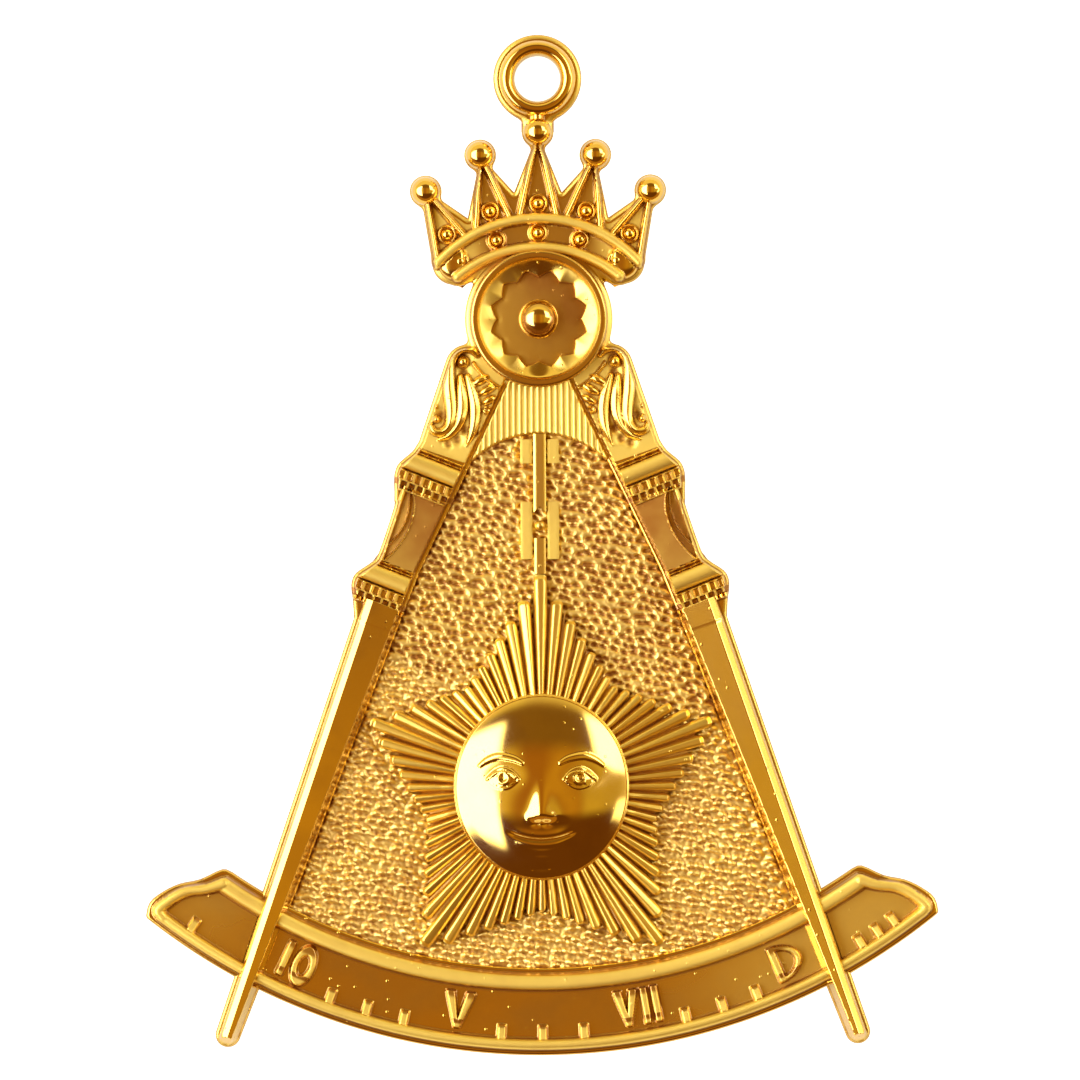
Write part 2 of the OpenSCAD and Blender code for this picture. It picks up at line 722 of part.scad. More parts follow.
// Flat outline of the quadrant with its shaped ends
module quadrant_outline() {
    ends = [for (p = wing_profile) on_arc(arc_in_r + p[1] * arc_w, p[0] * arc_half_angle)];
    last = len(ends) - 1;
    difference() {
        intersection() {
            translate([0, arc_cy])
                circle(arc_r);
            polygon(concat(
                [[0, arc_cy]],
                [for (p = ends) [-p[0], p[1]]],
                [on_arc(1.4 * arc_r, -arc_half_angle), on_arc(1.4 * arc_r, arc_half_angle)],
                [for (i = [last:-1:0]) ends[i]]
            ));
        }
        translate([0, arc_cy])
            circle(arc_in_r);
    }
}

// The raised border across a shaped end of the quadrant
module wing_border() {
    inset = lip_w + rail_w / 2;
    edge = [for (p = wing_profile) on_arc(arc_in_r + p[1] * arc_w, p[0] * arc_half_angle)];
    path = concat(
        [for (i = [0:len(edge) - 3]) edge[i] + inset * side_of(step_of(edge, i))],
        [on_arc(outer_rail_r, 0.985 * arc_half_angle - asin(inset / arc_r))]
    );
    ridge([for (p = path) [p[0], p[1], rail_w / 2, 0.95 * rail_h]]);
}

// A straight stroke of a numeral on the band, its ends given as shares of the numeral's height
module stroke(angle, x0, y0, x1, y1) {
    mid_r = (band_in_r + band_out_r) / 2;
    translate([0, arc_cy, 0])
        rotate([0, 0, angle])
            translate([0, -mid_r, root_z])
                linear_extrude(lip_h + mark_h - root_z)
                    polygon([
                        [x1 * numeral_len - stroke_w / 2, y1 * numeral_len],
                        [x1 * numeral_len + stroke_w / 2, y1 * numeral_len],
                        [x0 * numeral_len + stroke_w / 2, y0 * numeral_len],
                        [x0 * numeral_len - stroke_w / 2, y0 * numeral_len]
                    ]);
}

// A round stroke of a numeral: a ring, or the half of one that is open to the left
module round_stroke(angle, x, half_width, half) {
    mid_r = (band_in_r + band_out_r) / 2;
    r = numeral_len / 2;
    width = half_width * numeral_len;
    translate([0, arc_cy, 0])
        rotate([0, 0, angle])
            translate([x * numeral_len, -mid_r, root_z])
                linear_extrude(lip_h + mark_h - root_z)
                    difference() {
                        polygon([for (a = [0:15:345]) [width * cos(a), r * sin(a)]]);
                        polygon([for (a = [0:15:345])
                            [(width - stroke_w) * cos(a), (r - stroke_w) * sin(a)]]);
                        if (half)
                            translate([-2 * width, -r])
                                square([2 * width, 2 * r]);
                    }
}

// Rails, shaped ends, marks and numerals of the quadrant
module quadrant_relief() {
    translate([0, arc_cy, 0])
        mirror([0, 1, 0]) {
            rail(inner_rail_r, inner_rail_w, rail_h, 0.84 * arc_half_angle);
            rail(outer_rail_r, rail_w, 0.85 * rail_h, 0.96 * arc_half_angle);
        }
    both_sides()
        wing_border();
    for (a = tick_angles)
        translate([0, arc_cy, 0])
            rotate([0, 0, a])
                translate([-tick_w / 2, -outer_rail_r, root_z])
                    cube([tick_w, tick_len + rail_w / 2, lip_h + mark_h - root_z]);
    // The numeral five
    stroke(-8.2, -0.28, 0.5, 0, -0.5);
    stroke(-8.2, 0.28, 0.5, 0, -0.5);
    // The numeral seven
    stroke(9.2, -0.47, 0.5, -0.265, -0.5);
    stroke(9.2, -0.06, 0.5, -0.265, -0.5);
    stroke(9.2, 0.22, 0.5, 0.22, -0.5);
    stroke(9.2, 0.5, 0.5, 0.5, -0.5);
    // The number ten on the left
    stroke(-24.9, -0.235, 0.5, -0.235, -0.5);
    round_stroke(-24.9, 0.265, 0.31, false);
    // The round letter on the right
    stroke(24.6, -0.325, 0.5, -0.325, -0.5);
    round_stroke(24.6, -0.325, 0.675, true);
}

// Ribs under the head that end on an arch
module fluted_collar() {
    top_y = -boss_r + lip_w + boss_rim_w;
    side_y = -arch_v - arch_drop;
    arch_cy = -arch_v - arch_r;
    rib_count = floor(collar_half(side_y) / flute_pitch);
    difference() {
        translate([0, 0, root_z])
            linear_extrude(lip_h + collar_h - root_z)
                polygon([
                    [-collar_half(side_y), side_y],
                    [collar_half(side_y), side_y],
                    [collar_half(top_y), top_y],
                    [-collar_half(top_y), top_y]
                ]);
        translate([0, arch_cy, 0])
            cylinder(r = arch_r, h = 2 * lip_h);
    }
    for (k = [-rib_count:rib_count]) {
        x = k * flute_pitch;
        low = arch_cy + sqrt(pow(arch_r, 2) - x * x) - flute_w / 2;
        // A rib starts at the head, or where the leg's sloping edge lets it
        start = min(top_y, -collar_drop(abs(x)));
        if (start > low + flute_pitch)
            translate([x - flute_w / 2, low, root_z])
                cube([flute_w, start - low, lip_h + flute_h - root_z]);
    }
}

// A flat bar of the chain on the middle line or beside it
module chain_bar(x, w, top_y, len, h) {
    translate([x - w / 2, top_y - len, root_z])
        cube([w, len, lip_h + h - root_z]);
}

// The short chain in relief between the arch and the star
module chain() {
    start_y = -arch_v;
    end_y = sun_y + star_top_r;
    len = start_y - end_y;
    side_x = (link_gap + link_w) / 2;
    for (side = [-1, 1]) {
        chain_bar(side * side_x, link_w, start_y, 0.2 * len, 0.6 * chain_h);
        chain_bar(side * side_x, link_w, start_y - 0.48 * len, 0.43 * len, 0.6 * chain_h);
    }
    chain_bar(0, 0.9 * link_gap, start_y + 0.4, 0.6 * len, chain_h);
    chain_bar(0, 0.9 * link_gap, start_y - 0.77 * len, 0.23 * len - seat_gap, chain_h);
    bead([0, start_y - 0.65 * len], 0.4 * link_gap, 0);
}

// The flat plate under everything, out to the lip
module base_plate() {
    // The field reaches under the middle of each leg
    leg_middle = leg_reach - leg_w / 2;
    top = on_leg(leg_middle, shoulder_v + shoulder_r);
    low = on_leg(leg_middle, 0.85 * leg_len);
    translate([-neck_w / 2, crown_top_y, 0])
        cube([neck_w, neck_len + lip_w + eye_bead_w / 2, lip_h]);
    linear_extrude(lip_h)
        crown_outline();
    cylinder(r = boss_r, h = lip_h);
    linear_extrude(lip_h)
        polygon(concat([
            [-top[0], top[1]],
            [-low[0], low[1]]
        ],
        [for (share = [-0.6, -0.2, 0.2, 0.6]) on_arc(arc_in_r + lip_w, share * leg_angle)],
        [
            low,
            top
        ]));
    linear_extrude(lip_h)
        quadrant_outline();
    both_sides()
        along_leg()
            linear_extrude(lip_h)
                leg_outline();
}

// The whole casting
module frame() {
    color([0.85, 0.65, 0.22])
        translate([0, pivot_shift, 0])
            difference() {
                union() {
                    base_plate();
                    suspension_ring();
                    crown_relief();
                    compass_head();
                    both_sides()
                        along_leg() {
                            leg_bar();
                            capital(
                                upper_capital_v,
                                inner_edge(upper_capital_v) + lip_w,
                                column_edge + upper_swell - lip_w / 2,
                                upper_swell
                            );
                            column_panel();
                            capital(
                                lower_capital_v,
                                inner_edge(lower_capital_v) + lip_w,
                                leg_reach + lower_swell - lip_w / 2,
                                lower_swell
                            );
                            shoulder();
                        }
                    quadrant_relief();
                    fluted_collar();
                    chain();
                }
                translate([0, 0, -1])
                    cylinder(r = pivot_hole_r, h = cup_z + 2);
                translate([0, sun_y, -1])
                    cylinder(r = sun_hole_r, h = lip_h + 2);
            }
}

// The star of grooved rays that the sun sits on
module star_rays() {
    count = 2 * ray_count;
    angles = [for (i = [0:count - 1]) i * 360 / count - 90];
    // The rays stand round the sun with the same gap as below it
    seat = [for (a = angles) [(sun_rx + seat_gap) * cos(a), (sun_ry + seat_gap) * sin(a)]];
    outline = [for (a = angles) star_reach(a) * [cos(a), sin(a)]];
    top_z = star_z + star_seat_h;
    color([0.95, 0.8, 0.42])
        translate([0, pivot_shift + sun_y, 0])
            difference() {
                turned_skin(
                    [
                        [for (p = outline) at_height(p, star_z)],
                        [for (i = [0:count - 1])
                            at_height(outline[i], star_z + star_edge_h - (i % 2) * groove_h)],
                        [for (i = [0:count - 1])
                            at_height(seat[i], top_z + ray_h - (i % 2) * groove_h)],
                        [for (p = seat) at_height(0.995 * p, top_z)]
                    ],
                    [0, 0, star_z],
                    [0, 0, top_z]
                );
                translate([0, 0, -1])
                    cylinder(r = sun_hole_r, h = top_z + 2);
            }
}

// The domed sun with its face and the rivet behind it
module sun_face() {
    count = 80;
    ring_count = 28;
    edge = [for (i = [0:count - 1]) [sun_rx * cos(i * 360 / count), sun_ry * sin(i * 360 / count)]];
    color([0.88, 0.62, 0.15])
        translate([0, pivot_shift + sun_y, 0]) {
            turned_skin(
                concat(
                    [[for (p = edge) at_height(p, sun_z)]],
                    [for (k = [ring_count:-1:1]) dome_ring(edge, sin(90 * k / ring_count))]
                ),
                [0, 0, sun_z],
                [0, 0, sun_top_z + face(0, 0)]
            );
            cylinder(r = sun_pin_r, h = sun_top_z);
        }
}

// The polished ball and seat ring of the pivot, on its rivet
module pivot_ball() {
    // The ball's flat underside lies inside the seat ring
    ball_lift = 0.35 * pivot_ball_r;
    ball_z = cup_z + seat_gap + pivot_seat_h + ball_lift;
    color([0.9, 0.68, 0.2])
        translate([0, pivot_shift, 0]) {
            cylinder(r = pivot_pin_r, h = ball_z);
            translate([0, 0, cup_z + seat_gap])
                cylinder(r1 = pivot_seat_r, r2 = pivot_seat_r - 0.25, h = pivot_seat_h);
            translate([0, 0, ball_z])
                intersection() {
                    sphere(pivot_ball_r);
                    translate([0, 0, -ball_lift - pivot_seat_h / 2])
                        cylinder(r = 2 * pivot_ball_r, h = 3 * pivot_ball_r);
                }
        }
}

frame();
star_rays();
sun_face();
pivot_ball();
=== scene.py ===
"""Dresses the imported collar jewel: fine relief, plated finishes, studio and camera."""

import json
import math
from types import SimpleNamespace

import bpy
import numpy as np
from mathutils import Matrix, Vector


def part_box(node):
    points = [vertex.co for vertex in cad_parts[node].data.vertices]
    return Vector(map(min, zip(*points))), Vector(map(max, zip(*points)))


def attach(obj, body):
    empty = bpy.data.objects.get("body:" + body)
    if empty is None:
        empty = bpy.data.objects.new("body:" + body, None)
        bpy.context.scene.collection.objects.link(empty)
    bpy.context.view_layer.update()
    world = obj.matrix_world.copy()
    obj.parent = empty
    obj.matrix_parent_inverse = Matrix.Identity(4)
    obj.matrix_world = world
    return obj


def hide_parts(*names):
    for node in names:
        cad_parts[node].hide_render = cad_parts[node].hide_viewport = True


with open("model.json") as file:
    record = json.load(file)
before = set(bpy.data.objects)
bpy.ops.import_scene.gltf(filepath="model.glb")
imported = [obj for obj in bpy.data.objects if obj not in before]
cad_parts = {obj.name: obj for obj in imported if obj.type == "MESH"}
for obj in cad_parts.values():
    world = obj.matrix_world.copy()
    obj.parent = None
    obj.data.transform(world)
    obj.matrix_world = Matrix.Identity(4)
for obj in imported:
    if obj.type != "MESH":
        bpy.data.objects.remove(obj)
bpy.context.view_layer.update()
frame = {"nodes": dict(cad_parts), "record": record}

bl_info = {
    "name": "Collar jewel",
    "version": (1, 0, 0),
    "blender": (4, 5, 0),
    "location": "View3D > Sidebar > Jewel",
    "description": "Builds the fine relief and the finishes of a gilt collar jewel round its packed model",
    "category": "Object",
}

# A millimetre in metres. Where nothing else is said, lengths below are in millimetres
MM = 0.001
# Radius to which cast edges are rounded
EDGE_ROUND = 0.28
# Level where the relief is rooted in the back plate, and level of that plate's upper side
FOOT_Z = 0.15
BACK_Z = 0.45
# Distance by which the back plate stays inside the relief
PLATE_INSET = 0.03
# Gap between an applied piece and its seat
SEAT_GAP = 0.05
# How far crown and legs run in under the head
HEAD_TUCK = 1.2
# How far field and collar run in under the legs
LEG_TUCK = 0.25
# How far inside the sun's edge the rays start
SUN_TUCK = 0.25
# Points of a mesh that are nearer than this, in metres, are welded
WELD = 1e-6

PIVOT_LOW, PIVOT_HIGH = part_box("pivot_ball")
PIVOT_Y = (PIVOT_LOW[1] + PIVOT_HIGH[1]) / 2 / MM
SUN_LOW, SUN_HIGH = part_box("sun_face")
SUN_Y = (SUN_LOW[1] + SUN_HIGH[1]) / 2 / MM - PIVOT_Y
MOUNTS = {m["name"]: m for m in frame["record"]["mounts"]}
RING_Y = MOUNTS["suspension_hole"]["pos_m"][1] / MM - PIVOT_Y
HOLE_R = MOUNTS["suspension_hole"]["dims"]["r_mm"]


# ---- sizes and finishes that a user would change


def length(name, text, value):
    """A length property with its default in millimetres."""
    return bpy.props.FloatProperty(
        name=name, description=text, default=value * MM, min=0, precision=5, unit="LENGTH"
    )


def colour(name, text, value):
    """A colour property."""
    return bpy.props.FloatVectorProperty(
        name=name, description=text, default=value, size=3, min=0, max=1, subtype="COLOR"
    )


def share(name, text, value):
    """A property from 0 to 1."""
    return bpy.props.FloatProperty(
        name=name, description=text, default=value, min=0, max=1, subtype="FACTOR"
    )


class JewelSizes(bpy.types.PropertyGroup):
    """Sizes of the jewel's relief."""

    lip_h: length("Lip height", "Thickness of the plate at its lip", 1.2)
    lip_w: length("Lip width", "Width of the low lip round the casting", 0.5)
    rail_w: length("Rail width", "Width of the crown's rails and the outer rail", 1.0)
    rail_h: length("Rail height", "Height of the rails above the lip", 1.1)
    bead_w: length("Ring bead width", "Width of the suspension ring's bead", 1.4)
    bead_h: length("Ring bead height", "Height of that bead above the lip", 1.2)
    crown_w: length("Crown width", "Distance between the outer balls", 19.8)
    crown_point_h: length("Crown point height", "Rise of the middle ball above the band", 7.6)
    band_h: length("Crown band height", "Distance between the crown's two rails", 2.55)
    band_top_r: length("Upper rail radius", "Curve of the crown's upper rail", 12.0)
    band_low_r: length("Lower rail radius", "Curve of the crown's lower rail", 11.1)
    crown_ball_r: length("Crown ball radius", "Radius of the balls on the points", 1.14)
    crown_bead_r: length("Crown bead radius", "Radius of the beads of the crown", 0.5)
    boss_r: length("Head radius", "Radius of the head of the compasses", 6.5)
    boss_rim_h: length("Head rim height", "Height of the head's rim above the lip", 1.8)
    tooth_r: length("Tooth radius", "Radius of the toothed edge in the cup", 4.4)
    tooth_depth: length("Tooth depth", "Depth of its teeth", 0.62)
    ball_r: length("Pivot ball radius", "Radius of the pivot ball", 1.45)
    seat_r: length("Seat ring radius", "Radius of the ring under the pivot ball", 1.75)
    leg_reach: length("Leg reach", "Distance of a leg's outer edge from the pivot line", 7.1)
    leg_len: length("Leg length", "Length of a leg from the pivot", 69.6)
    leg_w: length("Leg width", "Width of a leg at its lower capital", 4.25)
    leg_tip_w: length("Leg tip width", "Width of a leg at its tip", 2.2)
    leg_ridge_h: length("Leg ridge height", "Height of the leg's ridge above the lip", 1.6)
    upper_capital: length("Upper capital", "Length down the leg to the upper capital", 14.1)
    lower_capital: length("Lower capital", "Length down the leg to the lower capital", 24.5)
    arc_drop: length("Arc drop", "Distance from the pivot down to the quadrant's centre", 9.35)
    arc_r: length("Quadrant radius", "Outer radius of the quadrant", 55.55)
    arc_w: length("Quadrant width", "Width of the quadrant with lip and rails", 7.75)
    inner_rail_w: length("Inner rail width", "Width of the quadrant's inner rail", 1.55)
    mark_h: length("Mark height", "Height of marks and numerals above the band", 0.7)
    numeral_h: length("Numeral height", "Height of the numerals on the band", 3.4)
    stroke_w: length("Stroke width", "Width of the strokes of the numerals", 0.6)
    flute_pitch: length("Flute pitch", "Distance between two flutes of the collar", 0.53)
    pebble_pitch: length("Pebble pitch", "Distance between two pits of the field", 0.84)
    pebble_h: length("Pebble height", "Depth of the pits of the field", 0.4)
    star_top_r: length("Star top reach", "Reach of the star's upper point", 18.7)
    star_side_r: length("Star side reach", "Reach of its side points", 16.3)
    star_low_r: length("Star low reach", "Reach of its lower points", 17.8)
    star_notch_r: length("Star notch reach", "Reach of the notches between the points", 11.0)
    sun_rx: length("Sun half width", "Half width of the sun", 7.7)
    sun_ry: length("Sun half height", "Half height of the sun", 8.2)
    dome_h: length("Dome height", "Height of the sun's dome above its edge", 2.2)
    leg_angle: bpy.props.FloatProperty(
        name="Leg angle",
        description="Half angle between the legs",
        default=math.radians(18.8),
        subtype="ANGLE",
    )
    arc_half_angle: bpy.props.FloatProperty(
        name="Quadrant half angle",
        description="Half angle that the quadrant spans",
        default=math.radians(39.5),
        subtype="ANGLE",
    )
    tooth_count: bpy.props.IntProperty(
        name="Teeth", description="Teeth round the cup of the head", default=12, min=6
    )
    ray_count: bpy.props.IntProperty(
        name="Rays", description="Rays of the star", default=68, min=20
    )


class JewelFinish(bpy.types.PropertyGroup):
    """Colours and polish of the plating."""

    plating: colour("Plating", "Colour of the polished gold plating", (1.0, 0.65, 0.08))
    # Deep plating is the dark colour of the painted shade in crevices, grooves, pits and at the feet of
    # walls, and of faint random clouds
    deep: colour("Deep plating", "Colour of plating in crevices and worn places", (0.45, 0.2, 0.03))
    satin: colour("Satin plating", "Colour of the satin panels", (1.0, 0.78, 0.15))
    polish: share("Polish roughness", "Roughness of polished faces", 0.12)
    satin_roughness: share("Satin roughness", "Roughness of the satin panels", 0.53)
    floor: colour("Floor", "Colour of the studio floor", (0.4, 0.4, 0.4))


def sizes():
    """The panel's sizes with lengths in millimetres, and what follows from them."""
    group = bpy.context.scene.jewel_sizes
    plain = ("leg_angle", "arc_half_angle", "tooth_count", "ray_count")
    s = SimpleNamespace()
    for name in JewelSizes.__annotations__:
        value = getattr(group, name)
        setattr(s, name, value if name in plain else value / MM)
    s.ring_r = HOLE_R + s.bead_w + s.lip_w - 0.015
    s.band_low_y = s.boss_r - s.lip_w / 3
    s.band_top_y = s.band_low_y + s.band_h
    s.top_cy = s.band_top_y - s.band_top_r
    s.low_cy = s.band_low_y - s.band_low_r
    s.crown_half = s.crown_w / 2
    s.arc_cy = -s.arc_drop
    s.arc_in_r = s.arc_r - s.arc_w
    return s


# ---- outlines and reliefs, as functions of points in millimetres


def rise(x, low, high):
    """Goes smoothly from 0 at low to 1 at high."""
    t = np.clip((x - low) / (high - low), 0, 1)
    return t * t * (3 - 2 * t)


def blend_max(a, b, k):
    """The larger of two, rounded over k where they meet."""
    h = np.clip(0.5 + 0.5 * (a - b) / k, 0, 1)
    return b * (1 - h) + a * h + k * h * (1 - h)


def blend_min(a, b, k):
    """The smaller of two, rounded over k where they meet."""
    return -blend_max(-a, -b, k)


def folded(p):
    """Points with the left side laid over the right one."""
    return np.column_stack([np.abs(p[:, 0]), p[:, 1]])


def polygon_depth(p, ring):
    """How deep points lie inside a closed outline; negative outside."""
    px, py = p[:, 0], p[:, 1]
    best = np.full(len(p), 1e9)
    inside = np.zeros(len(p), bool)
    for (ax, ay), (bx, by) in zip(ring, np.roll(ring, -1, axis=0)):
        ex, ey = bx - ax, by - ay
        t = np.clip(((px - ax) * ex + (py - ay) * ey) / (ex * ex + ey * ey + 1e-12), 0, 1)
        best = np.minimum(best, (px - ax - t * ex) ** 2 + (py - ay - t * ey) ** 2)
        if ay != by:
            inside ^= ((ay > py) != (by > py)) & (px < ex * (py - ay) / ey + ax)
    return np.where(inside, 1, -1) * np.sqrt(best)


def disc_depth(p, x, y, r):
    """How deep points lie inside a disc; negative outside."""
    return r - np.hypot(p[:, 0] - x, p[:, 1] - y)


def path_share(p, rows):
    """Share of a path's half width and its height there; rows hold x, y, half width, height."""
    best = np.full(len(p), 1e9)
    tall = np.zeros(len(p))
    rows = np.asarray(rows, float)
    for a, b in zip(rows[:-1], rows[1:]):
        e = b[:2] - a[:2]
        t = np.clip(((p - a[:2]) @ e) / (e @ e), 0, 1)
        off = np.hypot(*(p - a[:2] - t[:, None] * e).T) / (a[2] + t * (b[2] - a[2]))
        near = off < best
        best = np.where(near, off, best)
        tall = np.where(near, a[3] + t * (b[3] - a[3]), tall)
    return best, tall


def bulge(off, power=2.0):
    """A rounded section: 1 in the middle, 0 at the foot."""
    return (1 - np.clip(np.abs(off), 0, 1) ** power) ** (1 / power)


def peak(x, middle, wide):
    """A soft line across x: 1 in its middle."""
    return np.exp(-(((x - middle) / wide) ** 2))


def ridge(p, rows, power=2.0):
    """Height of a rounded band along a path."""
    off, tall = path_share(p, rows)
    return tall * bulge(off, power)


def scroll(p, rows):
    """A band with a soft crest, sloping sides and a steep foot."""
    off, tall = path_share(p, rows)
    slope = np.sqrt(off * off + 0.02) - 0.14
    return tall * (1 - 0.36 * slope) * (1 - rise(off, 0.8, 1.0))


def smooth_rows(rows, steps):
    """Rows of a path with rounded turns between them."""
    rows = np.asarray(rows, float)
    padded = np.vstack([2 * rows[0] - rows[1], rows, 2 * rows[-1] - rows[-2]])
    out = []
    for i in range(1, len(padded) - 2):
        a, b, c, d = padded[i - 1 : i + 3]
        for t in np.arange(steps) / steps:
            square = (2 * a - 5 * b + 4 * c - d) * t * t
            cube = (3 * b - 3 * c + d - a) * t**3
            out.append(0.5 * (2 * b + (c - a) * t + square + cube))
    out.append(rows[-1])
    return np.array(out)


def rail_rows(s, cy, r, reach):
    """Rows of a crown rail of radius r, from the middle to a share of the crown's half width."""
    angles = np.linspace(0, math.asin(reach * s.crown_half / r), 24)
    return [[r * math.sin(a), cy + r * math.cos(a), s.rail_w / 2, s.rail_h] for a in angles]


def lip(d, s):
    """Height of the lip with its rounded edge, at a depth inside the outline."""
    inset = EDGE_ROUND - np.clip(d, 0, EDGE_ROUND)
    return s.lip_h - EDGE_ROUND + np.sqrt(EDGE_ROUND**2 - inset**2)


def lip_share(d):
    """Satin share of the low lip."""
    return 0.7 * rise(d, 0.0, 0.15) * (1 - rise(d, 0.32, 0.46))


# Radius and height of the raised disc under a bead of the crown
DISC_R = 0.86
DISC_H = 0.42


def bead_ring(p, x, y):
    """A bead's raised disc with a fine rim round it."""
    r = np.hypot(p[:, 0] - x, p[:, 1] - y)
    base = 0.35 * DISC_H * (1 - rise(r, DISC_R - 0.12, DISC_R))
    rim = DISC_H * bulge(np.abs(r - DISC_R + 0.16) / 0.15)
    return np.maximum(base, rim)


# ---- mesh work


def clear_selection():
    for obj in bpy.context.selected_objects:
        obj.select_set(False)


def only(obj):
    """Selects one piece and makes it the active one."""
    clear_selection()
    obj.select_set(True)
    bpy.context.view_layer.objects.active = obj


def coords(obj):
    """A mesh's points as rows of x, y, z in metres."""
    co = np.empty(3 * len(obj.data.vertices))
    obj.data.vertices.foreach_get("co", co)
    return co.reshape(-1, 3)


def set_coords(obj, co):
    obj.data.vertices.foreach_set("co", np.asarray(co, float).ravel())
    obj.data.update()


def place(x, y, z):
    """Points given from the pivot in millimetres, as places in the shared frame."""
    return np.column_stack([x, np.asarray(y) + PIVOT_Y, z]) * MM


def paint(obj, name, values):
    """Keeps a mask with the mesh, for the finishes to read."""
    layer = obj.data.attributes.get(name) or obj.data.attributes.new(name, "FLOAT", "POINT")
    layer.data.foreach_set("value", np.asarray(values, np.float32))


def edit(obj):
    """Starts work on the mesh of one piece."""
    only(obj)
    bpy.ops.object.mode_set(mode="EDIT")


def edit_points(obj):
    """Starts work on all points of one piece."""
    edit(obj)
    bpy.ops.mesh.select_mode(type="VERT")
    bpy.ops.mesh.select_all(action="SELECT")


def leave_edit():
    bpy.ops.object.mode_set(mode="OBJECT")


def select_faces(obj, chosen):
    """Selects the chosen faces and nothing else."""
    count = len(obj.data.polygons)
    obj.data.vertices.foreach_set("select", np.zeros(len(obj.data.vertices), bool))
    obj.data.edges.foreach_set("select", np.zeros(len(obj.data.edges), bool))
    obj.data.polygons.foreach_set("select", np.asarray(chosen, bool).reshape(count))


def finish_piece(obj, nodes, material, angle):
    """Smooths a piece, gives it its finish and ties it to the frame."""
    edit_points(obj)
    bpy.ops.mesh.normals_make_consistent(inside=False)
    leave_edit()
    only(obj)
    bpy.ops.object.shade_smooth_by_angle(angle=math.radians(angle))
    obj.data.materials.clear()
    obj.data.materials.append(bpy.data.materials[material])
    for name in ("satin", "painted_shade"):
        if name not in obj.data.attributes:
            paint(obj, name, np.zeros(len(obj.data.vertices)))
    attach(obj, "root")
    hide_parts(*nodes)
    clear_selection()


def finish_casting(obj, material="gilt casting", angle=80):
    """Finishes a piece of the one casting that all but the applied pieces belong to."""
    finish_piece(obj, ("frame",), material, angle)


def grid(name, columns, rows):
    """A flat grid of faces, to be brought into shape."""
    clear_selection()
    bpy.ops.mesh.primitive_grid_add(x_subdivisions=columns, y_subdivisions=rows, size=1)
    obj = bpy.context.active_object
    obj.name = obj.data.name = name
    return obj


def project(p, inside):
    """Moves points onto the outline where inside() is 0."""
    q = p.copy()
    h = 0.01
    for _ in range(4):
        d = inside(q)
        gx = (inside(q + [h, 0]) - inside(q - [h, 0])) / (2 * h)
        gy = (inside(q + [0, h]) - inside(q - [0, h])) / (2 * h)
        norm = np.maximum(gx * gx + gy * gy, 0.2)
        q -= np.column_stack([gx, gy]) * (d / norm)[:, None]
    return q


def crease_share(z):
    """Painted shade for each place of a height grid, from how far it lies in a narrow groove or at a foot.
    """
    soft = z
    for _ in range(3):
        for axis in (0, 1):
            soft = (np.roll(soft, 1, axis) + soft + np.roll(soft, -1, axis)) / 3
    return np.clip((soft - z - 0.015) / 0.09, 0, 0.9)


def straight(x, y):
    """For a relief whose grid places are points of the jewel as they are."""
    return x, y


def relief(name, u, v, inside, height, masks, to_xy=straight, holes=False):
    """A closed piece of relief: a grid over u and v, trimmed to an outline and raised.

    inside gives the depth of points in the outline, height gives their height from point
    and depth, masks give their satin and painted shade shares, and to_xy turns grid
    places into points of the jewel.
    """
    nu, nv = len(u), len(v)
    obj = grid(name, nu - 1, nv - 1)
    uu, vv = np.meshgrid(u, v)
    p = np.column_stack([uu.ravel(), vv.ravel()])
    cell = min(np.diff(u).min(), np.diff(v).min())
    d = inside(p)
    inner = (d > -0.45 * cell).reshape(nv, nu)
    faces = inner[:-1, :-1] & inner[1:, :-1] & inner[:-1, 1:] & inner[1:, 1:]
    used = np.zeros((nv, nu), int)
    for a in (slice(None, -1), slice(1, None)):
        for b in (slice(None, -1), slice(1, None)):
            used[a, b] += faces
    kept = used.ravel() > 0
    border = kept & (used.ravel() < 4)
    p[border] = project(p[border], inside)
    q = p[kept]
    # Each height is the mean of five places in and round the point
    total = np.zeros(len(q))
    for dx, dy in ((0, 0), (1, 1), (1, -1), (-1, 1), (-1, -1)):
        at = q + np.array([dx, dy]) * 0.28 * cell
        depth = inside(at)
        total += height(at, np.maximum(depth, 0))
    z = total / 5
    z[border[kept]] = lip(np.zeros(border.sum()), sizes())
    x, y = to_xy(q[:, 0], q[:, 1])
    co = np.zeros((nu * nv, 3))
    co[kept] = place(x, y, z)
    set_coords(obj, co)
    depth = np.maximum(inside(q), 0)
    whole = np.full(nu * nv, sizes().lip_h)
    whole[kept] = z
    # Painted shade in narrow grooves and at the feet of walls, joined to each piece's painted shade mask
    creases = crease_share(whole.reshape(nv, nu)).ravel()
    for mask, values in masks(q, depth, z).items():
        whole = np.zeros(nu * nv)
        whole[kept] = values
        if mask == "painted_shade":
            whole = np.maximum(whole, creases)
        paint(obj, mask, whole)
    select_faces(obj, ~faces.ravel())
    edit(obj)
    bpy.ops.mesh.select_mode(type="FACE")
    bpy.ops.mesh.delete(type="FACE")
    close_down(FOOT_Z, holes)
    leave_edit()
    return obj


def close_down(foot, holes=False):
    """Draws the open edge straight down to the foot level and closes the underside."""
    bpy.ops.mesh.select_mode(type="EDGE")
    bpy.ops.mesh.select_all(action="DESELECT")
    bpy.ops.mesh.select_non_manifold()
    bpy.ops.mesh.extrude_region_move(TRANSFORM_OT_translate={"value": (0, 0, -MM)})
    bpy.ops.transform.resize(value=(1, 1, 0), center_override=(0, 0, foot * MM))
    if holes:
        bpy.ops.mesh.fill(use_beauty=False)
    else:
        bpy.ops.mesh.edge_face_add()


def weld_round(obj, foot, holes=False):
    """Welds a grid that was bent round, along its seam, and closes it down to the foot level."""
    edit_points(obj)
    bpy.ops.mesh.remove_doubles(threshold=WELD)
    close_down(foot, holes)
    leave_edit()


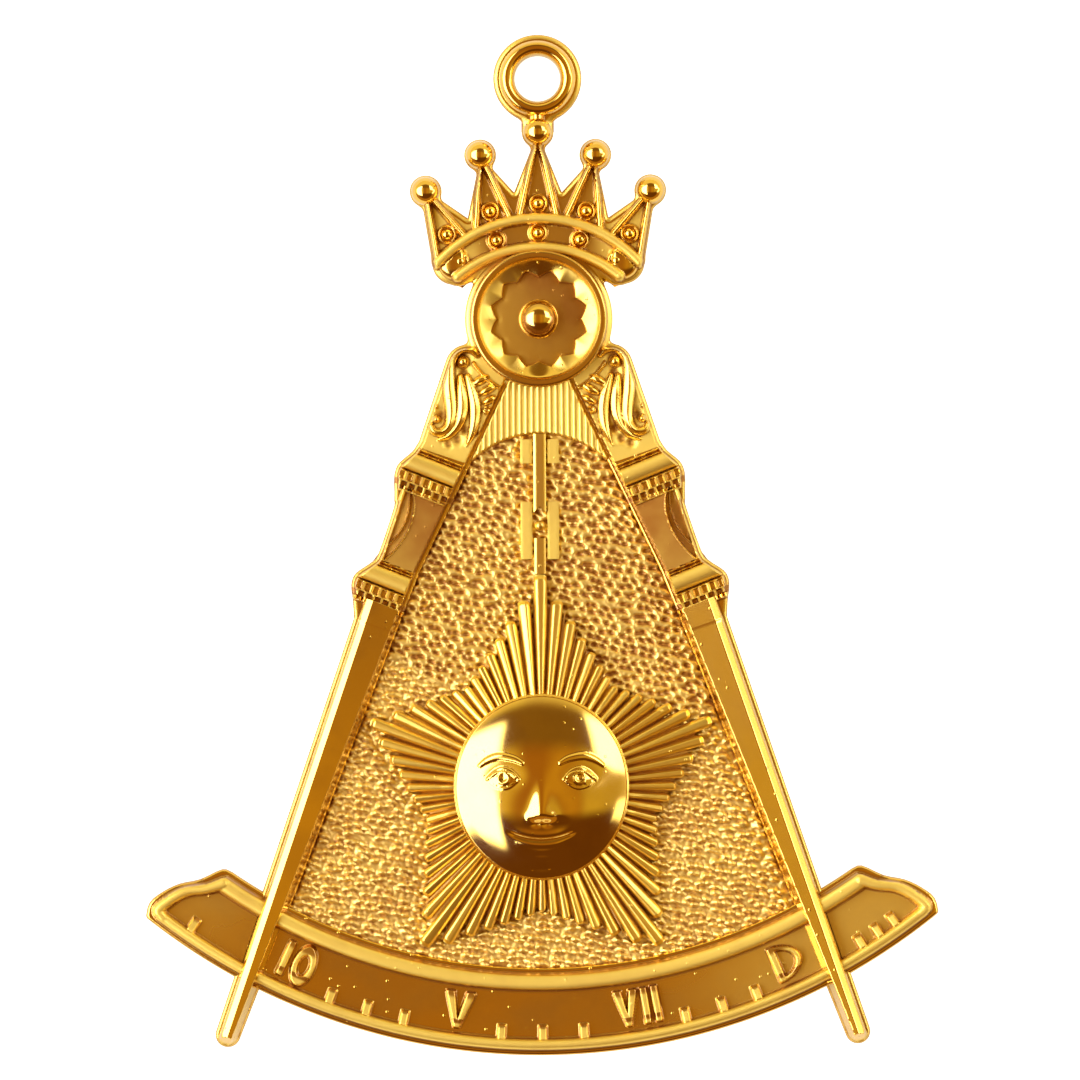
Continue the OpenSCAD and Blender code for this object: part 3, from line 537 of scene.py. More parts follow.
def spun(name, profile, cy, steps, closed=False):
    """A ring or bowl: a profile of radius and height, spun round an upright axis."""
    clear_selection()
    bpy.ops.mesh.primitive_circle_add(vertices=len(profile), radius=1, fill_type="NOTHING")
    obj = bpy.context.active_object
    obj.name = obj.data.name = name
    profile = np.asarray(profile, float)
    set_coords(obj, place(profile[:, 0], np.full(len(profile), cy), profile[:, 1]))
    edit(obj)
    bpy.ops.mesh.select_mode(type="EDGE")
    if not closed:
        leave_edit()
        ends = {0, len(profile) - 1}
        for e in obj.data.edges:
            e.select = set(e.vertices) == ends
        for vert in obj.data.vertices:
            vert.select = False
        edit(obj)
        bpy.ops.mesh.delete(type="EDGE")
    bpy.ops.mesh.select_all(action="SELECT")
    centre = tuple(place([0], [cy], [0])[0])
    bpy.ops.mesh.spin(steps=steps, angle=2 * math.pi, center=centre, axis=(0, 0, 1))
    bpy.ops.mesh.select_all(action="SELECT")
    bpy.ops.mesh.remove_doubles(threshold=WELD)
    bpy.ops.mesh.normals_make_consistent(inside=False)
    leave_edit()
    return obj


def copy_of(obj, name, move):
    """A copy with its own mesh, whose points move() places."""
    twin = obj.copy()
    twin.data = obj.data.copy()
    twin.name = twin.data.name = name
    bpy.context.collection.objects.link(twin)
    set_coords(twin, move(coords(twin)))
    return twin


def joined(name, pieces):
    """One object from several."""
    clear_selection()
    for obj in pieces:
        obj.select_set(True)
    bpy.context.view_layer.objects.active = pieces[0]
    bpy.ops.object.join()
    obj = bpy.context.active_object
    obj.name = obj.data.name = name
    return obj


# ---- finishes


def add_node(tree, kind, at, **values):
    """A node with its values; those that start with in_ go to its inputs."""
    node = tree.nodes.new(kind)
    node.location = at
    for key, value in values.items():
        if key.startswith("in_"):
            node.inputs[key[3:].replace("_", " ")].default_value = value
        else:
            setattr(node, key, value)
    return node


def maths(tree, kind, at, a, b=None):
    """A Math node on sockets or plain numbers."""
    node = add_node(tree, "ShaderNodeMath", at, operation=kind)
    for i, value in enumerate((a, b)):
        if value is None:
            continue
        if isinstance(value, (int, float)):
            node.inputs[i].default_value = value
        else:
            tree.links.new(value, node.inputs[i])
    return node.outputs[0]


def span(tree, at, value, low, high, to_low=0.0, to_high=1.0, kind="SMOOTHSTEP"):
    """A value taken smoothly from one range to another."""
    node = add_node(tree, "ShaderNodeMapRange", at, interpolation_type=kind)
    tree.links.new(value, node.inputs["Value"])
    keys = ("From Min", "From Max", "To Min", "To Max")
    for key, number in zip(keys, (low, high, to_low, to_high)):
        node.inputs[key].default_value = number
    return node.outputs["Result"]


def mix(tree, at, factor, a, b):
    """A colour mix on sockets or plain colours."""
    node = add_node(tree, "ShaderNodeMix", at, data_type="RGBA")
    for socket, value in ((node.inputs[0], factor), (node.inputs[6], a), (node.inputs[7], b)):
        if hasattr(value, "is_linked"):
            tree.links.new(value, socket)
        elif isinstance(value, (int, float)):
            socket.default_value = value
        else:
            socket.default_value = (*value, 1)
    return node.outputs[2]


def plating_group():
    """Colour, roughness and height of a plated casting, from its masks."""
    group = bpy.data.node_groups.new("plated_casting", "ShaderNodeTree")
    for in_out, kind, names in (
        ("INPUT", "NodeSocketColor", ("Polished", "Satin Tone", "Deep")),
        ("INPUT", "NodeSocketFloat", ("Satin", "Painted_Shade", "Polish", "Satin Roughness", "Grain")),
        ("OUTPUT", "NodeSocketColor", ("Color",)),
        ("OUTPUT", "NodeSocketFloat", ("Roughness", "Gloss", "Height")),
    ):
        for name in names:
            group.interface.new_socket(name=name, in_out=in_out, socket_type=kind)

    def plus(at, a, b):
        return maths(group, "ADD", at, a, b)

    def times(at, a, b):
        return maths(group, "MULTIPLY", at, a, b)

    inp = add_node(group, "NodeGroupInput", (-1200, 0)).outputs
    out = add_node(group, "NodeGroupOutput", (900, 0)).inputs
    where = add_node(group, "ShaderNodeTexCoord", (-1200, -400)).outputs["Object"]
    noises = {}
    for key, scale, detail, at in (
        ("cloud", 260, 3, (-900, -200)),
        ("grain", 3200, 5, (-900, -450)),
        ("wave", 700, 1, (-900, -700)),
    ):
        node = add_node(group, "ShaderNodeTexNoise", at, in_Scale=scale, in_Detail=detail)
        group.links.new(where, node.inputs["Vector"])
        noises[key] = node.outputs["Fac"]
    # Fine raised specks, in one out of five cells
    speck = add_node(group, "ShaderNodeTexVoronoi", (-900, -950), in_Scale=1400)
    group.links.new(where, speck.inputs["Vector"])
    dot = span(group, (-650, -950), speck.outputs["Distance"], 0.08, 0.2, 1, 0)
    pick = add_node(group, "ShaderNodeSeparateColor", (-650, -1150))
    group.links.new(speck.outputs["Color"], pick.inputs[0])
    chosen = maths(group, "GREATER_THAN", (-450, -1150), pick.outputs[0], 0.8)
    dot = times((-250, -1000), dot, chosen)
    # Colour: polished or satin, darkened by painted shade where the painted shade mask asks for it, and in
    # faint random clouds
    tone = mix(group, (-500, 200), inp["Satin"], inp["Polished"], inp["Satin Tone"])
    cloudy = span(group, (-650, -50), noises["cloud"], 0.4, 0.7, 0.0, 0.2)
    dark = plus((-450, 0), inp["Painted_Shade"], cloudy)
    dark = maths(group, "MINIMUM", (-250, 0), dark, 1.0)
    group.links.new(mix(group, (0, 200), dark, tone, inp["Deep"]), out["Color"])
    # Roughness
    blur = span(group, (-650, -200), inp["Satin"], 0, 1, 0, 1, "LINEAR")
    gloss = maths(group, "SUBTRACT", (-650, -300), 1.0, blur)
    group.links.new(gloss, out["Gloss"])
    low = times((-450, -250), gloss, inp["Polish"])
    high = times((-450, -350), blur, inp["Satin Roughness"])
    patchy = span(group, (-250, -450), noises["cloud"], 0.3, 0.8, 0, 0.05)
    rough = plus((-50, -300), plus((-250, -300), low, high), patchy)
    rough = plus((150, -300), rough, times((-50, -500), inp["Painted_Shade"], 0.2))
    group.links.new(rough, out["Roughness"])
    # Height: grain, mostly on satin faces, then long waves and the specks
    coarse = times((-450, -600), noises["grain"], inp["Grain"])
    coarse = times((-250, -600), coarse, plus((-450, -750), blur, 0.06))
    height = plus((-50, -650), coarse, times((-250, -750), noises["wave"], 0.25))
    height = plus((150, -700), height, times((-50, -900), dot, 2.4))
    group.links.new(height, out["Height"])
    return group


def gold(name, group, deep, polished, satin_tone, polish, satin_roughness, grain, bump):
    """A plated finish that reads the satin and painted shade masks of its piece."""
    material = bpy.data.materials.new(name)
    material.use_nodes = True
    tree = material.node_tree
    tree.nodes.clear()
    plate = add_node(tree, "ShaderNodeGroup", (-200, 0), node_tree=group)
    for key, value in (("Polished", polished), ("Satin Tone", satin_tone), ("Deep", deep)):
        plate.inputs[key].default_value = (*value, 1)
    for key, value in (("Polish", polish), ("Satin Roughness", satin_roughness), ("Grain", grain)):
        plate.inputs[key].default_value = value
    for i, mask in enumerate(("satin", "painted_shade")):
        node = add_node(tree, "ShaderNodeAttribute", (-500, -200 * i), attribute_name=mask)
        tree.links.new(node.outputs["Fac"], plate.inputs[mask.title()])
    rough = add_node(tree, "ShaderNodeBump", (50, -250), in_Strength=1.0, in_Distance=bump * MM)
    tree.links.new(plate.outputs["Height"], rough.inputs["Height"])
    shader = add_node(
        tree,
        "ShaderNodeBsdfPrincipled",
        (300, 0),
        in_Metallic=1.0,
        in_Coat_Roughness=0.15,
        in_Coat_IOR=1.5,
    )
    for given, taken in (
        ("Gloss", "Coat Weight"),
        ("Color", "Base Color"),
        ("Roughness", "Roughness"),
    ):
        tree.links.new(plate.outputs[given], shader.inputs[taken])
    tree.links.new(rough.outputs["Normal"], shader.inputs["Normal"])
    out = add_node(tree, "ShaderNodeOutputMaterial", (600, 0))
    tree.links.new(shader.outputs[0], out.inputs["Surface"])


# ---- outlines of the casting


def crown_share(s, x, y):
    """A place from its shares of the crown's half width and of its point's height."""
    return np.array([x * s.crown_half, s.band_top_y + y * s.crown_point_h])


def rail_foot(s, x):
    """The place on the upper rail at a share of the crown's half width."""
    side = x * s.crown_half
    return np.array([side, s.top_cy + math.sqrt(s.band_top_r**2 - side**2)])


# Share of the crown's half width at which its outermost ridge stands
OUTER_FOOT = 0.895
# Reach and rise of each ball, then the feet of its two ridges, as in the part's source
CROWN_POINTS = [(0, 1, -0.17, 0.17), (0.513, 0.735, 0.24, 0.555), (1, 0.32, 0.635, OUTER_FOOT)]
# Radius of the crown's rounded lower corners
CORNER_R = 1.9
# Level where the neck of the suspension ring starts
NECK_Y = 16.6


def crown_corner(s):
    """Middle of the crown's rounded corner on the right."""
    return rail_foot(s, OUTER_FOOT) + [s.lip_w - CORNER_R, 0]


def join_head(d, p, s):
    """Takes an outline in under the head, with a fillet at the head's edge."""
    d = blend_max(d, disc_depth(p, 0, 0, s.boss_r), 0.7)
    return np.minimum(d, -disc_depth(p, 0, 0, s.boss_r - HEAD_TUCK))


def crown_depth(s):
    """Depth inside the crown, its balls, the neck and the lip of the ring."""
    corner = crown_corner(s)
    outer_ball = crown_share(s, *CROWN_POINTS[2][:2])
    right = [
        corner - [0, CORNER_R],
        rail_foot(s, OUTER_FOOT) + [s.lip_w, 0],
        outer_ball + [s.lip_w, 0],
        outer_ball - [s.lip_w / 2, 0],
        crown_share(s, 0.626, 0.005),
        crown_share(s, *CROWN_POINTS[1][:2]),
        crown_share(s, 0.212, 0.3),
    ]
    left = [np.array([-x, y]) for x, y in right[::-1]]
    ring = np.array(right + [crown_share(s, 0, 1)] + left + [np.array([0.0, 0.0])])
    low_r = s.band_low_r - s.rail_w / 2 - s.lip_w
    flange = s.crown_ball_r + 0.26

    def depth(p):
        q = folded(p)
        d = blend_min(polygon_depth(p, ring), -disc_depth(p, 0, s.low_cy, low_r), 0.7)
        d = blend_max(d, disc_depth(q, *corner, CORNER_R), 0.3)
        for x, y, _, _ in CROWN_POINTS:
            d = blend_max(d, disc_depth(q, *crown_share(s, x, y), flange), 0.5)
        neck = np.minimum(0.9 - q[:, 0], np.minimum(p[:, 1] - NECK_Y, RING_Y - 2 - p[:, 1]))
        d = blend_max(d, neck, 0.5)
        d = blend_max(d, disc_depth(p, 0, RING_Y, s.ring_r), 0.8)
        d = join_head(d, p, s)
        return np.minimum(d, -disc_depth(p, 0, RING_Y, HOLE_R + 0.35))

    return depth


def crown_height(s):
    """Relief of the crown: discs under its beads, ridges, rails, neck and lower corners."""
    # Radius over which the bands of the crown run into each other
    soft = 0.08
    corner_x, corner_y = crown_corner(s)
    ridges = []
    for x, y, *feet in CROWN_POINTS:
        for foot in feet:
            top, low = crown_share(s, x, y), rail_foot(s, foot)
            ridges.append([[*top, 0.25, 0.95], [*low, 0.34, 0.8]])
    rails = (
        rail_rows(s, s.top_cy, s.band_top_r, 0.9),
        rail_rows(s, s.low_cy, s.band_low_r, 0.72),
    )
    neck = [[0, NECK_Y, 0.5, 1.0], [0, RING_Y - 3.3, 0.55, 0.9]]

    def height(p, d):
        q = folded(p)
        up = 0.05 + np.zeros(len(p))
        for x, y in crown_beads(s):
            up = np.maximum(up, bead_ring(q, x, y))
        for rows in ridges:
            up = blend_max(up, ridge(q, rows, 2.2), soft)
        for x, y, _, _ in CROWN_POINTS:
            r = np.hypot(q[:, 0] - x * s.crown_half, q[:, 1] - crown_share(s, x, y)[1])
            up = blend_max(up, 0.3 * (1 - rise(r, 1.0, 1.35)), soft)
        for rows in rails:
            up = blend_max(up, ridge(q, rows, 2.6), soft)
        up = blend_max(up, ridge(p, neck, 2.2), soft)
        # The lower corners swell up to a rounded boss
        x, y = corner_x, corner_y
        boss = 0.75 * bulge(np.hypot(q[:, 0] - x + 0.1, q[:, 1] - y) / 1.5, 2.2)
        end = np.hypot(q[:, 0], q[:, 1] - s.top_cy) < s.band_top_r - s.rail_w / 2
        up = np.where(end, np.maximum(up, boss * rise(q[:, 0], x - 1.5, x - 0.7)), up)
        return lip(d, s) + up * rise(d, 0.12, 0.4)

    return height


def crown_beads(s):
    """Places of the beads on one side: three in the band and three in the points."""
    out = []
    for k in range(3):
        for r, step in ((s.band_top_r - s.band_h / 2, 20), (s.band_top_r + 1.3, 18.6)):
            a = math.radians(k * step)
            out.append((r * math.sin(a), s.top_cy + r * math.cos(a)))
    return out


def leg_inner(s, v):
    """Distance of a leg's inner edge from the pivot line."""
    start = s.leg_reach - s.leg_w
    above = start - 2.9 * (s.lower_capital - v) / s.lower_capital
    below = start + (s.leg_w - s.leg_tip_w) * (v - s.lower_capital) / (s.leg_len - s.lower_capital)
    return np.where(v < s.lower_capital, above, below)


# Outer edge of a capital: length down it as a share of its length, and share of its swell
SWELL = [
    (-0.14, 0), (0.12, 0.25), (0.44, 0.93), (0.66, 1),
    (0.88, 0.75), (1.08, 0.42), (1.29, 0.15), (1.42, 0),
]
CAPITAL_LEN = 4.0
# Length from a capital's upper end to the end of its fillets, of its round moulding and of
# its rows of cells, below which the leg's bar starts
FILLETS = 0.54
MOULDING = 2.16
CELLS = 3.6


def swell_edge(v, above, below, swell):
    """Outer edge of a capital that starts at v, between the edges above and below it."""
    out = []
    for down, wide in SWELL:
        base = above + (below - above) * min(max(down, 0), 1)
        out.append((base + swell * wide, v + down * CAPITAL_LEN))
    return out


def leg_depth(s):
    """Depth inside a leg, in its own frame of distance from the pivot line and length."""
    tip = s.leg_tip_w / 2
    column, shoulder = s.leg_reach - 0.25, s.leg_reach - 0.5
    # Radius of the shoulder's upper turn
    turn = 1.95
    edge = [
        (shoulder - turn + turn * math.sin(a), 4 + turn - turn * math.cos(a))
        for a in np.linspace(-0.9, math.pi / 2, 12)
    ]
    rows = swell_edge(s.upper_capital, shoulder, column, 1.0)
    rows += swell_edge(s.lower_capital, column, s.leg_reach, 1.3)
    edge += [tuple(r[:2]) for r in smooth_rows(rows, 3)]
    edge += [
        (s.leg_reach - tip + tip * math.cos(a), s.leg_len - tip + tip * math.sin(a))
        for a in np.linspace(0, math.pi, 17)
    ]
    edge += [(float(leg_inner(s, v)), v) for v in (s.lower_capital, 5.0)]
    ring = np.array(edge)
    return lambda p: join_head(polygon_depth(p, ring), p, s)


# Scroll bands of a shoulder in the leg's frame: distance, length, half width, height
HOOD = [
    (4.1, 4.75, 0.3, 0.8), (4.7, 4.42, 0.4, 1.0), (5.5, 4.55, 0.44, 1.1),
    (6.0, 5.2, 0.44, 1.15), (6.12, 6.2, 0.5, 1.2), (5.9, 7.3, 0.58, 1.25),
    (5.45, 8.5, 0.62, 1.25), (4.95, 9.6, 0.6, 1.2), (4.6, 10.6, 0.54, 1.15),
    (4.55, 11.5, 0.48, 1.1), (4.95, 12.15, 0.44, 1.0), (5.6, 12.3, 0.38, 0.95),
    (6.05, 11.9, 0.3, 0.85),
]
SECOND = [
    (4.95, 7.0, 0.28, 0.75), (4.5, 8.0, 0.5, 1.0), (4.0, 9.2, 0.58, 1.05),
    (3.76, 10.3, 0.54, 1.05), (3.86, 11.35, 0.44, 0.95), (4.3, 12.3, 0.34, 0.85),
    (4.95, 12.85, 0.22, 0.7),
]
TAIL = [
    (4.35, 6.8, 0.3, 0.75), (3.6, 7.8, 0.5, 0.95), (3.0, 8.8, 0.56, 1.0),
    (2.62, 9.85, 0.54, 1.0), (2.42, 10.9, 0.46, 0.9), (2.42, 11.8, 0.32, 0.8),
    (2.5, 12.6, 0.16, 0.6),
]
# Leaf lobes beside the head: middle, half widths and turn
LOBES = [
    (3.15, 6.75, 0.42, 0.9, -0.76), (2.3, 7.35, 0.42, 0.95, -0.76),
    (1.85, 8.15, 0.38, 0.8, -0.8), (1.75, 9.08, 0.5, 0.42, 0.2),
]
# Hollows between the scrolls: middle and radius
HOLLOWS = [
    (5.3, 5.4, 0.8), (5.45, 10.8, 0.5), (3.15, 11.3, 0.45), (3.45, 12.35, 0.42),
    (4.1, 12.95, 0.36), (1.95, 11.4, 0.32), (4.75, 6.6, 0.4),
]
# Small round buds on the scrolls: middle, radius and height
BUDS = [(5.12, 5.72, 0.6, 1.0), (5.75, 11.25, 0.4, 1.0), (6.2, 10.2, 0.3, 0.8)]


def shoulder_height(p):
    """Relief of a shoulder: hollows, leaf lobes, scrolls, buds and the arc round the head."""
    u, v = p.T
    up = 0.45 + np.zeros(len(p))
    for cu, cv, r in HOLLOWS:
        up -= 0.42 * np.exp(-(((u - cu) ** 2 + (v - cv) ** 2) / r**2))
    for cu, cv, ru, rv, turn in LOBES:
        c, k = math.cos(turn), math.sin(turn)
        du, dv = u - cu, v - cv
        off = np.hypot((du * c + dv * k) / ru, (dv * c - du * k) / rv)
        up = np.maximum(up, 0.95 * bulge(off, 2.4))
    up -= 0.5 * bell(u, v, 1.75, 9.05, 0.3, 0.2)
    for band in (TAIL, SECOND, HOOD):
        up = blend_max(up, scroll(p, smooth_rows(band, 4)), 0.04)
    for cu, cv, r, h in BUDS:
        up = np.maximum(up, h * bulge(np.hypot(u - cu, v - cv) / r))
    rim = np.abs(np.hypot(u, v) - 7.0)
    return np.maximum(up, np.where(u < 4.3, 0.75 * bulge(rim / 0.22), 0))


def capital_down(u, v, start, s):
    """Length down a capital, which is tilted: its inner end lies lower down the leg."""
    return v - start - 0.052 * (s.leg_reach - u)


def dentils(across, down, pitch, length):
    """Depth of two staggered rows of square cells between posts."""
    row = (down > length).astype(float)
    cell = np.abs(((across / pitch + 0.5 * row) % 1) - 0.5)
    level = np.abs(((down - row * length) / length) - 0.5)
    hole = (1 - rise(cell, 0.26, 0.36)) * (1 - rise(level, 0.34, 0.46))
    return (0.55 + 0.45 * row) * hole


def capital_height(u, v, start, s, lower):
    """Relief of a capital: paired fillets, round moulding, two rows of square cells."""
    inner = leg_inner(s, np.full(len(u), start)) + s.lip_w
    down = capital_down(u, v, start, s)
    fillet = 0.72 + 0.3 * bulge((((down + 0.02) / 0.27) % 1 - 0.5) / 0.36, 2.0)
    ovolo = 0.72 + 0.6 * bulge((down - 1.3) / 0.8, 2.0)
    cell = 1.15 - 0.6 * dentils(u - inner, down - 2.28, 0.76, 0.82)
    up = np.where(down < FILLETS, fillet, np.where(down < MOULDING, ovolo, cell))
    # A fine groove between the moulding and the cells
    up = up - 0.45 * peak(down, 2.17, 0.08)
    if lower:
        bead = 0.75 + 0.4 * np.abs(np.sin((u - inner) * math.pi / 0.45))
        up = np.where(down > CELLS, bead, up)
    return up * (1 - rise(down, CAPITAL_LEN - 0.05, CAPITAL_LEN + 0.15)) * (down > 0)


def leg_height(s):
    """Relief of a leg in its own frame: shoulder, capitals, column and bar."""

    def height(p, d):
        u, v = p.T
        inner = leg_inner(s, v)
        outer_in = s.leg_reach - u
        inner_in = u - inner
        # The bar below the capitals: an outer bevel, a broad face and a fine inner bevel
        crest_in = 1.14
        face = s.leg_ridge_h - 0.19 * (outer_in - crest_in)
        slope = s.leg_ridge_h - 0.66 * (crest_in - outer_in)
        bevel = np.minimum((outer_in - 0.36) * 9, slope)
        thin = (inner_in - 0.14) * 5.5
        round_tip = (s.leg_len - v - 0.25) * 2.2
        bar = np.minimum(np.minimum(bevel, blend_min(face, thin, 0.04)), round_tip)
        bar = np.minimum(bar, np.maximum(d - 0.2, 0) * 3.2)
        low_start = s.lower_capital + CELLS
        up = np.where(v > low_start, np.maximum(bar, 0), 0)
        # The column between the capitals
        top_v, low_v = s.upper_capital + 3.4, s.lower_capital
        along = np.clip((v - top_v) / (low_v - top_v), 0, 1)
        column_u = s.leg_reach - 0.55
        lens_u = column_u - 0.3 - 1.3 * np.clip(np.sin(math.pi * along**0.85), 0, 1) ** 0.75
        wave = np.sin(math.pi * np.clip(along * 1.25, 0, 1))
        fine_u = column_u - 0.25 - 0.85 * np.clip(wave, 0, 1) ** 0.8
        lens = 0.72 - 0.1 * (u - lens_u)
        column = np.where(u > lens_u, lens, 1.0 - 0.05 * (lens_u - u))
        column = np.maximum(column, 1.2 * bulge((u - lens_u) / 0.13, 1.6))
        column = np.maximum(column, 1.12 * bulge((u - fine_u) / 0.1, 1.6))
        column = np.maximum(column, 1.15 * bulge((u - column_u + 0.08) / 0.24, 2.4))
        column = np.where(u > column_u + 0.18, 0, column)
        column = column * rise(inner_in, 0.42, 0.5)
        up = np.where((v > top_v) & (v < low_v + 0.5), column, up)
        # Shoulder and capitals
        up = np.where(v < s.upper_capital + 0.5, shoulder_height(p), up)
        for start, lower in ((s.upper_capital, False), (s.lower_capital, True)):
            down = capital_down(u, v, start, s)
            cap = capital_height(u, v, start, s, lower)
            below = np.where(down < 0, up, np.maximum(cap, up))
            up = np.where((down > 0) & (down < 3.55), cap, below)
        above = v < low_start
        up = up * np.where(above, rise(inner_in, s.lip_w - 0.12, s.lip_w + 0.06), 1)
        up = up * np.where(above, rise(d, 0.25, 0.5), 1)
        return lip(d, s) + up

    return height


def leg_masks(s):
    """Satin and painted shade shares of a leg, in its own frame."""
    column_start = s.upper_capital + 3.9

    def masks(p, d, z):
        u, v = p.T
        inner_in = u - leg_inner(s, v)
        up = z - s.lip_h
        shoulder = v < s.upper_capital
        flat = shoulder & (up < 0.52)
        down = capital_down(u, v, s.upper_capital, s)
        low = capital_down(u, v, s.lower_capital, s)
        down = np.where(low > -0.5, low, down)
        ovolo = (down > 0.55) & (down < 2.15)
        column = (v > column_start) & (low < 0) & (up > 0.2)
        bar = low > CELLS
        satin = np.where(flat, 1.0, np.where(ovolo, 0.8, np.where(column, 0.7, 0.15)))
        satin = np.where(bar, 0.0, satin) * rise(d, 0.3, 0.5) * rise(inner_in, 0.3, 0.6)
        rows = (down > 2.2) & (down < 3.62)
        satin = np.where(rows & (up > 1.0), 0.7, satin)
        satin = np.maximum(satin, lip_share(d) * (inner_in > 0.4))
        # Painted shade on the low places of the capitals' cells, deepest in the lower row
        painted_shade = np.where(rows, (0.3 + 0.65 * (down > 3.1)) * rise(1.1 - up, 0.1, 0.4), 0)
        # Painted shade on the column: lighter further down on its raised part, even on its low sides, none
        # on its crest or near its outer edge
        along = (v - s.upper_capital - 4) / (s.lower_capital - s.upper_capital - 4)
        painted_shade = np.where(column & (up > 0.8), 0.95 - 0.35 * np.clip(along, 0, 1), painted_shade)
        painted_shade = np.where(column & (up < 0.8), 0.75, painted_shade)
        painted_shade = np.where(column & ((up > 1.01) | (s.leg_reach - u < 0.85)), 0.0, painted_shade)
        # Painted shade: a thin dark line where the column meets its inner strip
        edge = peak(inner_in, 0.5, 0.07) * (v > column_start) * (low < 0)
        painted_shade = np.maximum(painted_shade, 0.95 * edge)
        # Painted shade in the low hollows of the shoulder
        hollow = 0.75 * rise(0.38 - up, 0.02, 0.3) * rise(d, 0.4, 0.7) * (inner_in > 0.6)
        painted_shade = np.where(shoulder, hollow, painted_shade)
        # Painted shade on the face of the bar, darker towards the capital
        face = bar & (s.leg_reach - u > 1.2) & (inner_in > 0.45)
        painted_shade = np.where(face, 0.5 * (1 - rise(v, 29, 50)), painted_shade)
        return {"satin": satin, "painted_shade": painted_shade}

    return masks


# Outer edge of the quadrant's right end: shares of its half angle and of its width
WING = [
    (0.881, 0), (0.909, 0.04), (0.94, 0.28), (0.974, 0.46),
    (0.994, 0.65), (1.002, 0.84), (0.985, 1.02),
]
# Angles of the plain marks, in degrees from the middle
TICKS = [-35, -20.4, -16.8, -13.2, -3.9, 0, 3.9, 13.6, 17.2, 20.6, 31.5, 33.4, 35.2]


def wing_points(s, mid):
    """The wing's edge as length along the quadrant's middle and radius."""
    return [(a * s.arc_half_angle * mid, s.arc_in_r + w * s.arc_w) for a, w in WING]


def quadrant_depth(s):
    """Depth inside the quadrant; points are given as length along its middle and radius."""
    mid = s.arc_in_r + s.arc_w / 2
    wing = smooth_rows(wing_points(s, mid), 3)
    above = s.arc_in_r + 1.2 * s.arc_w
    ring = np.vstack([[(0, s.arc_in_r)], wing, [(wing[-1][0] - 1.5, above), (0, above)]])

    def depth(p):
        q = folded(p)
        d = np.where(q[:, 0] < 0.5 * s.arc_half_angle * mid, 9, polygon_depth(q, ring))
        return blend_min(np.minimum(d, p[:, 1] - s.arc_in_r), s.arc_r - p[:, 1], 0.25)

    return depth, mid


# Strokes of the numerals: angle in degrees, ends as shares of the numeral's height, widths
# at both ends as shares of the stroke's width
STROKES = [
    (-8.2, -0.27, 0.5, -0.02, -0.5, 1.4, 0.7),
    (-8.2, 0.27, 0.5, 0.02, -0.5, 1.4, 0.7),
    (9.2, -0.47, 0.5, -0.275, -0.5, 1.3, 0.7),
    (9.2, -0.06, 0.5, -0.255, -0.5, 1.3, 0.7),
    (9.2, 0.22, 0.5, 0.22, -0.5, 1.1, 1.0),
    (9.2, 0.5, 0.5, 0.5, -0.5, 1.1, 1.0),
    (-24.9, -0.235, 0.5, -0.235, -0.5, 1.15, 1.0),
    (24.6, -0.325, 0.5, -0.325, -0.5, 1.2, 1.0),
]
# Rounded figures: angle in degrees, middle and half width as shares of the numeral's
# height, and whether only the right half is there
LOOPS = [(-24.9, 0.265, 0.31, False), (24.6, -0.325, 0.675, True)]


def quadrant_height(s, mid):
    """Relief of the quadrant: rails, the wings' borders, marks and numerals."""
    inner_r = s.arc_in_r + s.lip_w + s.inner_rail_w / 2
    outer_r = s.arc_r - s.lip_w - s.rail_w / 2
    centre = (inner_r + s.inner_rail_w / 2 + outer_r - s.rail_w / 2) / 2
    inset = s.lip_w + s.rail_w / 2
    wing = np.array(wing_points(s, mid))
    border = [
        (wing[1][0] - 0.9, inner_r - 0.05, 0.6, s.rail_h),
        (wing[2][0] - 1.0, wing[2][1] + 0.3, s.rail_w / 2, s.rail_h),
    ]
    border += [(x - inset, r, s.rail_w / 2, 0.95 * s.rail_h) for x, r in wing[3:-1]]
    border.append((wing[-1][0] - inset - 0.1, outer_r, s.rail_w / 2, 0.9 * s.rail_h))
    border = smooth_rows(border, 3)

    def flat_top(off, h, soft=0.22):
        return h * (1 - rise(np.abs(off), 1 - soft, 1))

    def height(p, d):
        x, r = p.T
        q = folded(p)
        up = np.zeros(len(p))
        reach = 0.86 * s.arc_half_angle * mid
        across = (r - inner_r) / (s.inner_rail_w / 2)
        rail = (s.rail_h - 0.1 + 0.04 * across) * bulge(across, 2.8)
        up = np.where(q[:, 0] < reach + 1.0, rail, up)
        across = (r - outer_r) / (s.rail_w / 2)
        outer = (0.88 * s.rail_h - 0.04 * across) * bulge(across, 2.6)
        up = np.where(q[:, 0] < 0.965 * s.arc_half_angle * mid, np.maximum(up, outer), up)
        up = np.maximum(up, ridge(q, border, 2.8))
        for a in TICKS:
            tx = math.radians(a) * mid
            off = np.maximum(np.abs(x - tx) / 0.38, np.abs(r - outer_r + 1.0) / 0.72)
            up = np.maximum(up, flat_top(off, s.mark_h + 0.25 * (r - outer_r + 1), 0.25))
        n = s.numeral_h
        for a, x0, y0, x1, y1, w0, w1 in STROKES:
            base = math.radians(a) * mid
            rows = [
                (base + x * n, centre - y * n * 0.86, w * s.stroke_w / 2, s.mark_h)
                for x, y, w in ((x0, y0, w0), (x1, y1, w1))
            ]
            up = np.maximum(up, ridge(p, rows, 6) * (np.abs(r - centre) < 0.47 * n))
        stroke = s.stroke_w / 2
        for a, cx, wide, half in LOOPS:
            ox = x - math.radians(a) * mid - cx * n
            w = wide * n
            ring = np.abs(np.hypot(ox / (w - stroke), (r - centre) / (n / 2 - stroke)) - 1)
            loop = flat_top(ring * (w - stroke) / stroke, s.mark_h, 0.35)
            up = np.maximum(up, np.where((ox > 0) | (not half), loop, 0))
        return lip(d, s) + up * rise(d, 0.25, 0.5)

    return height


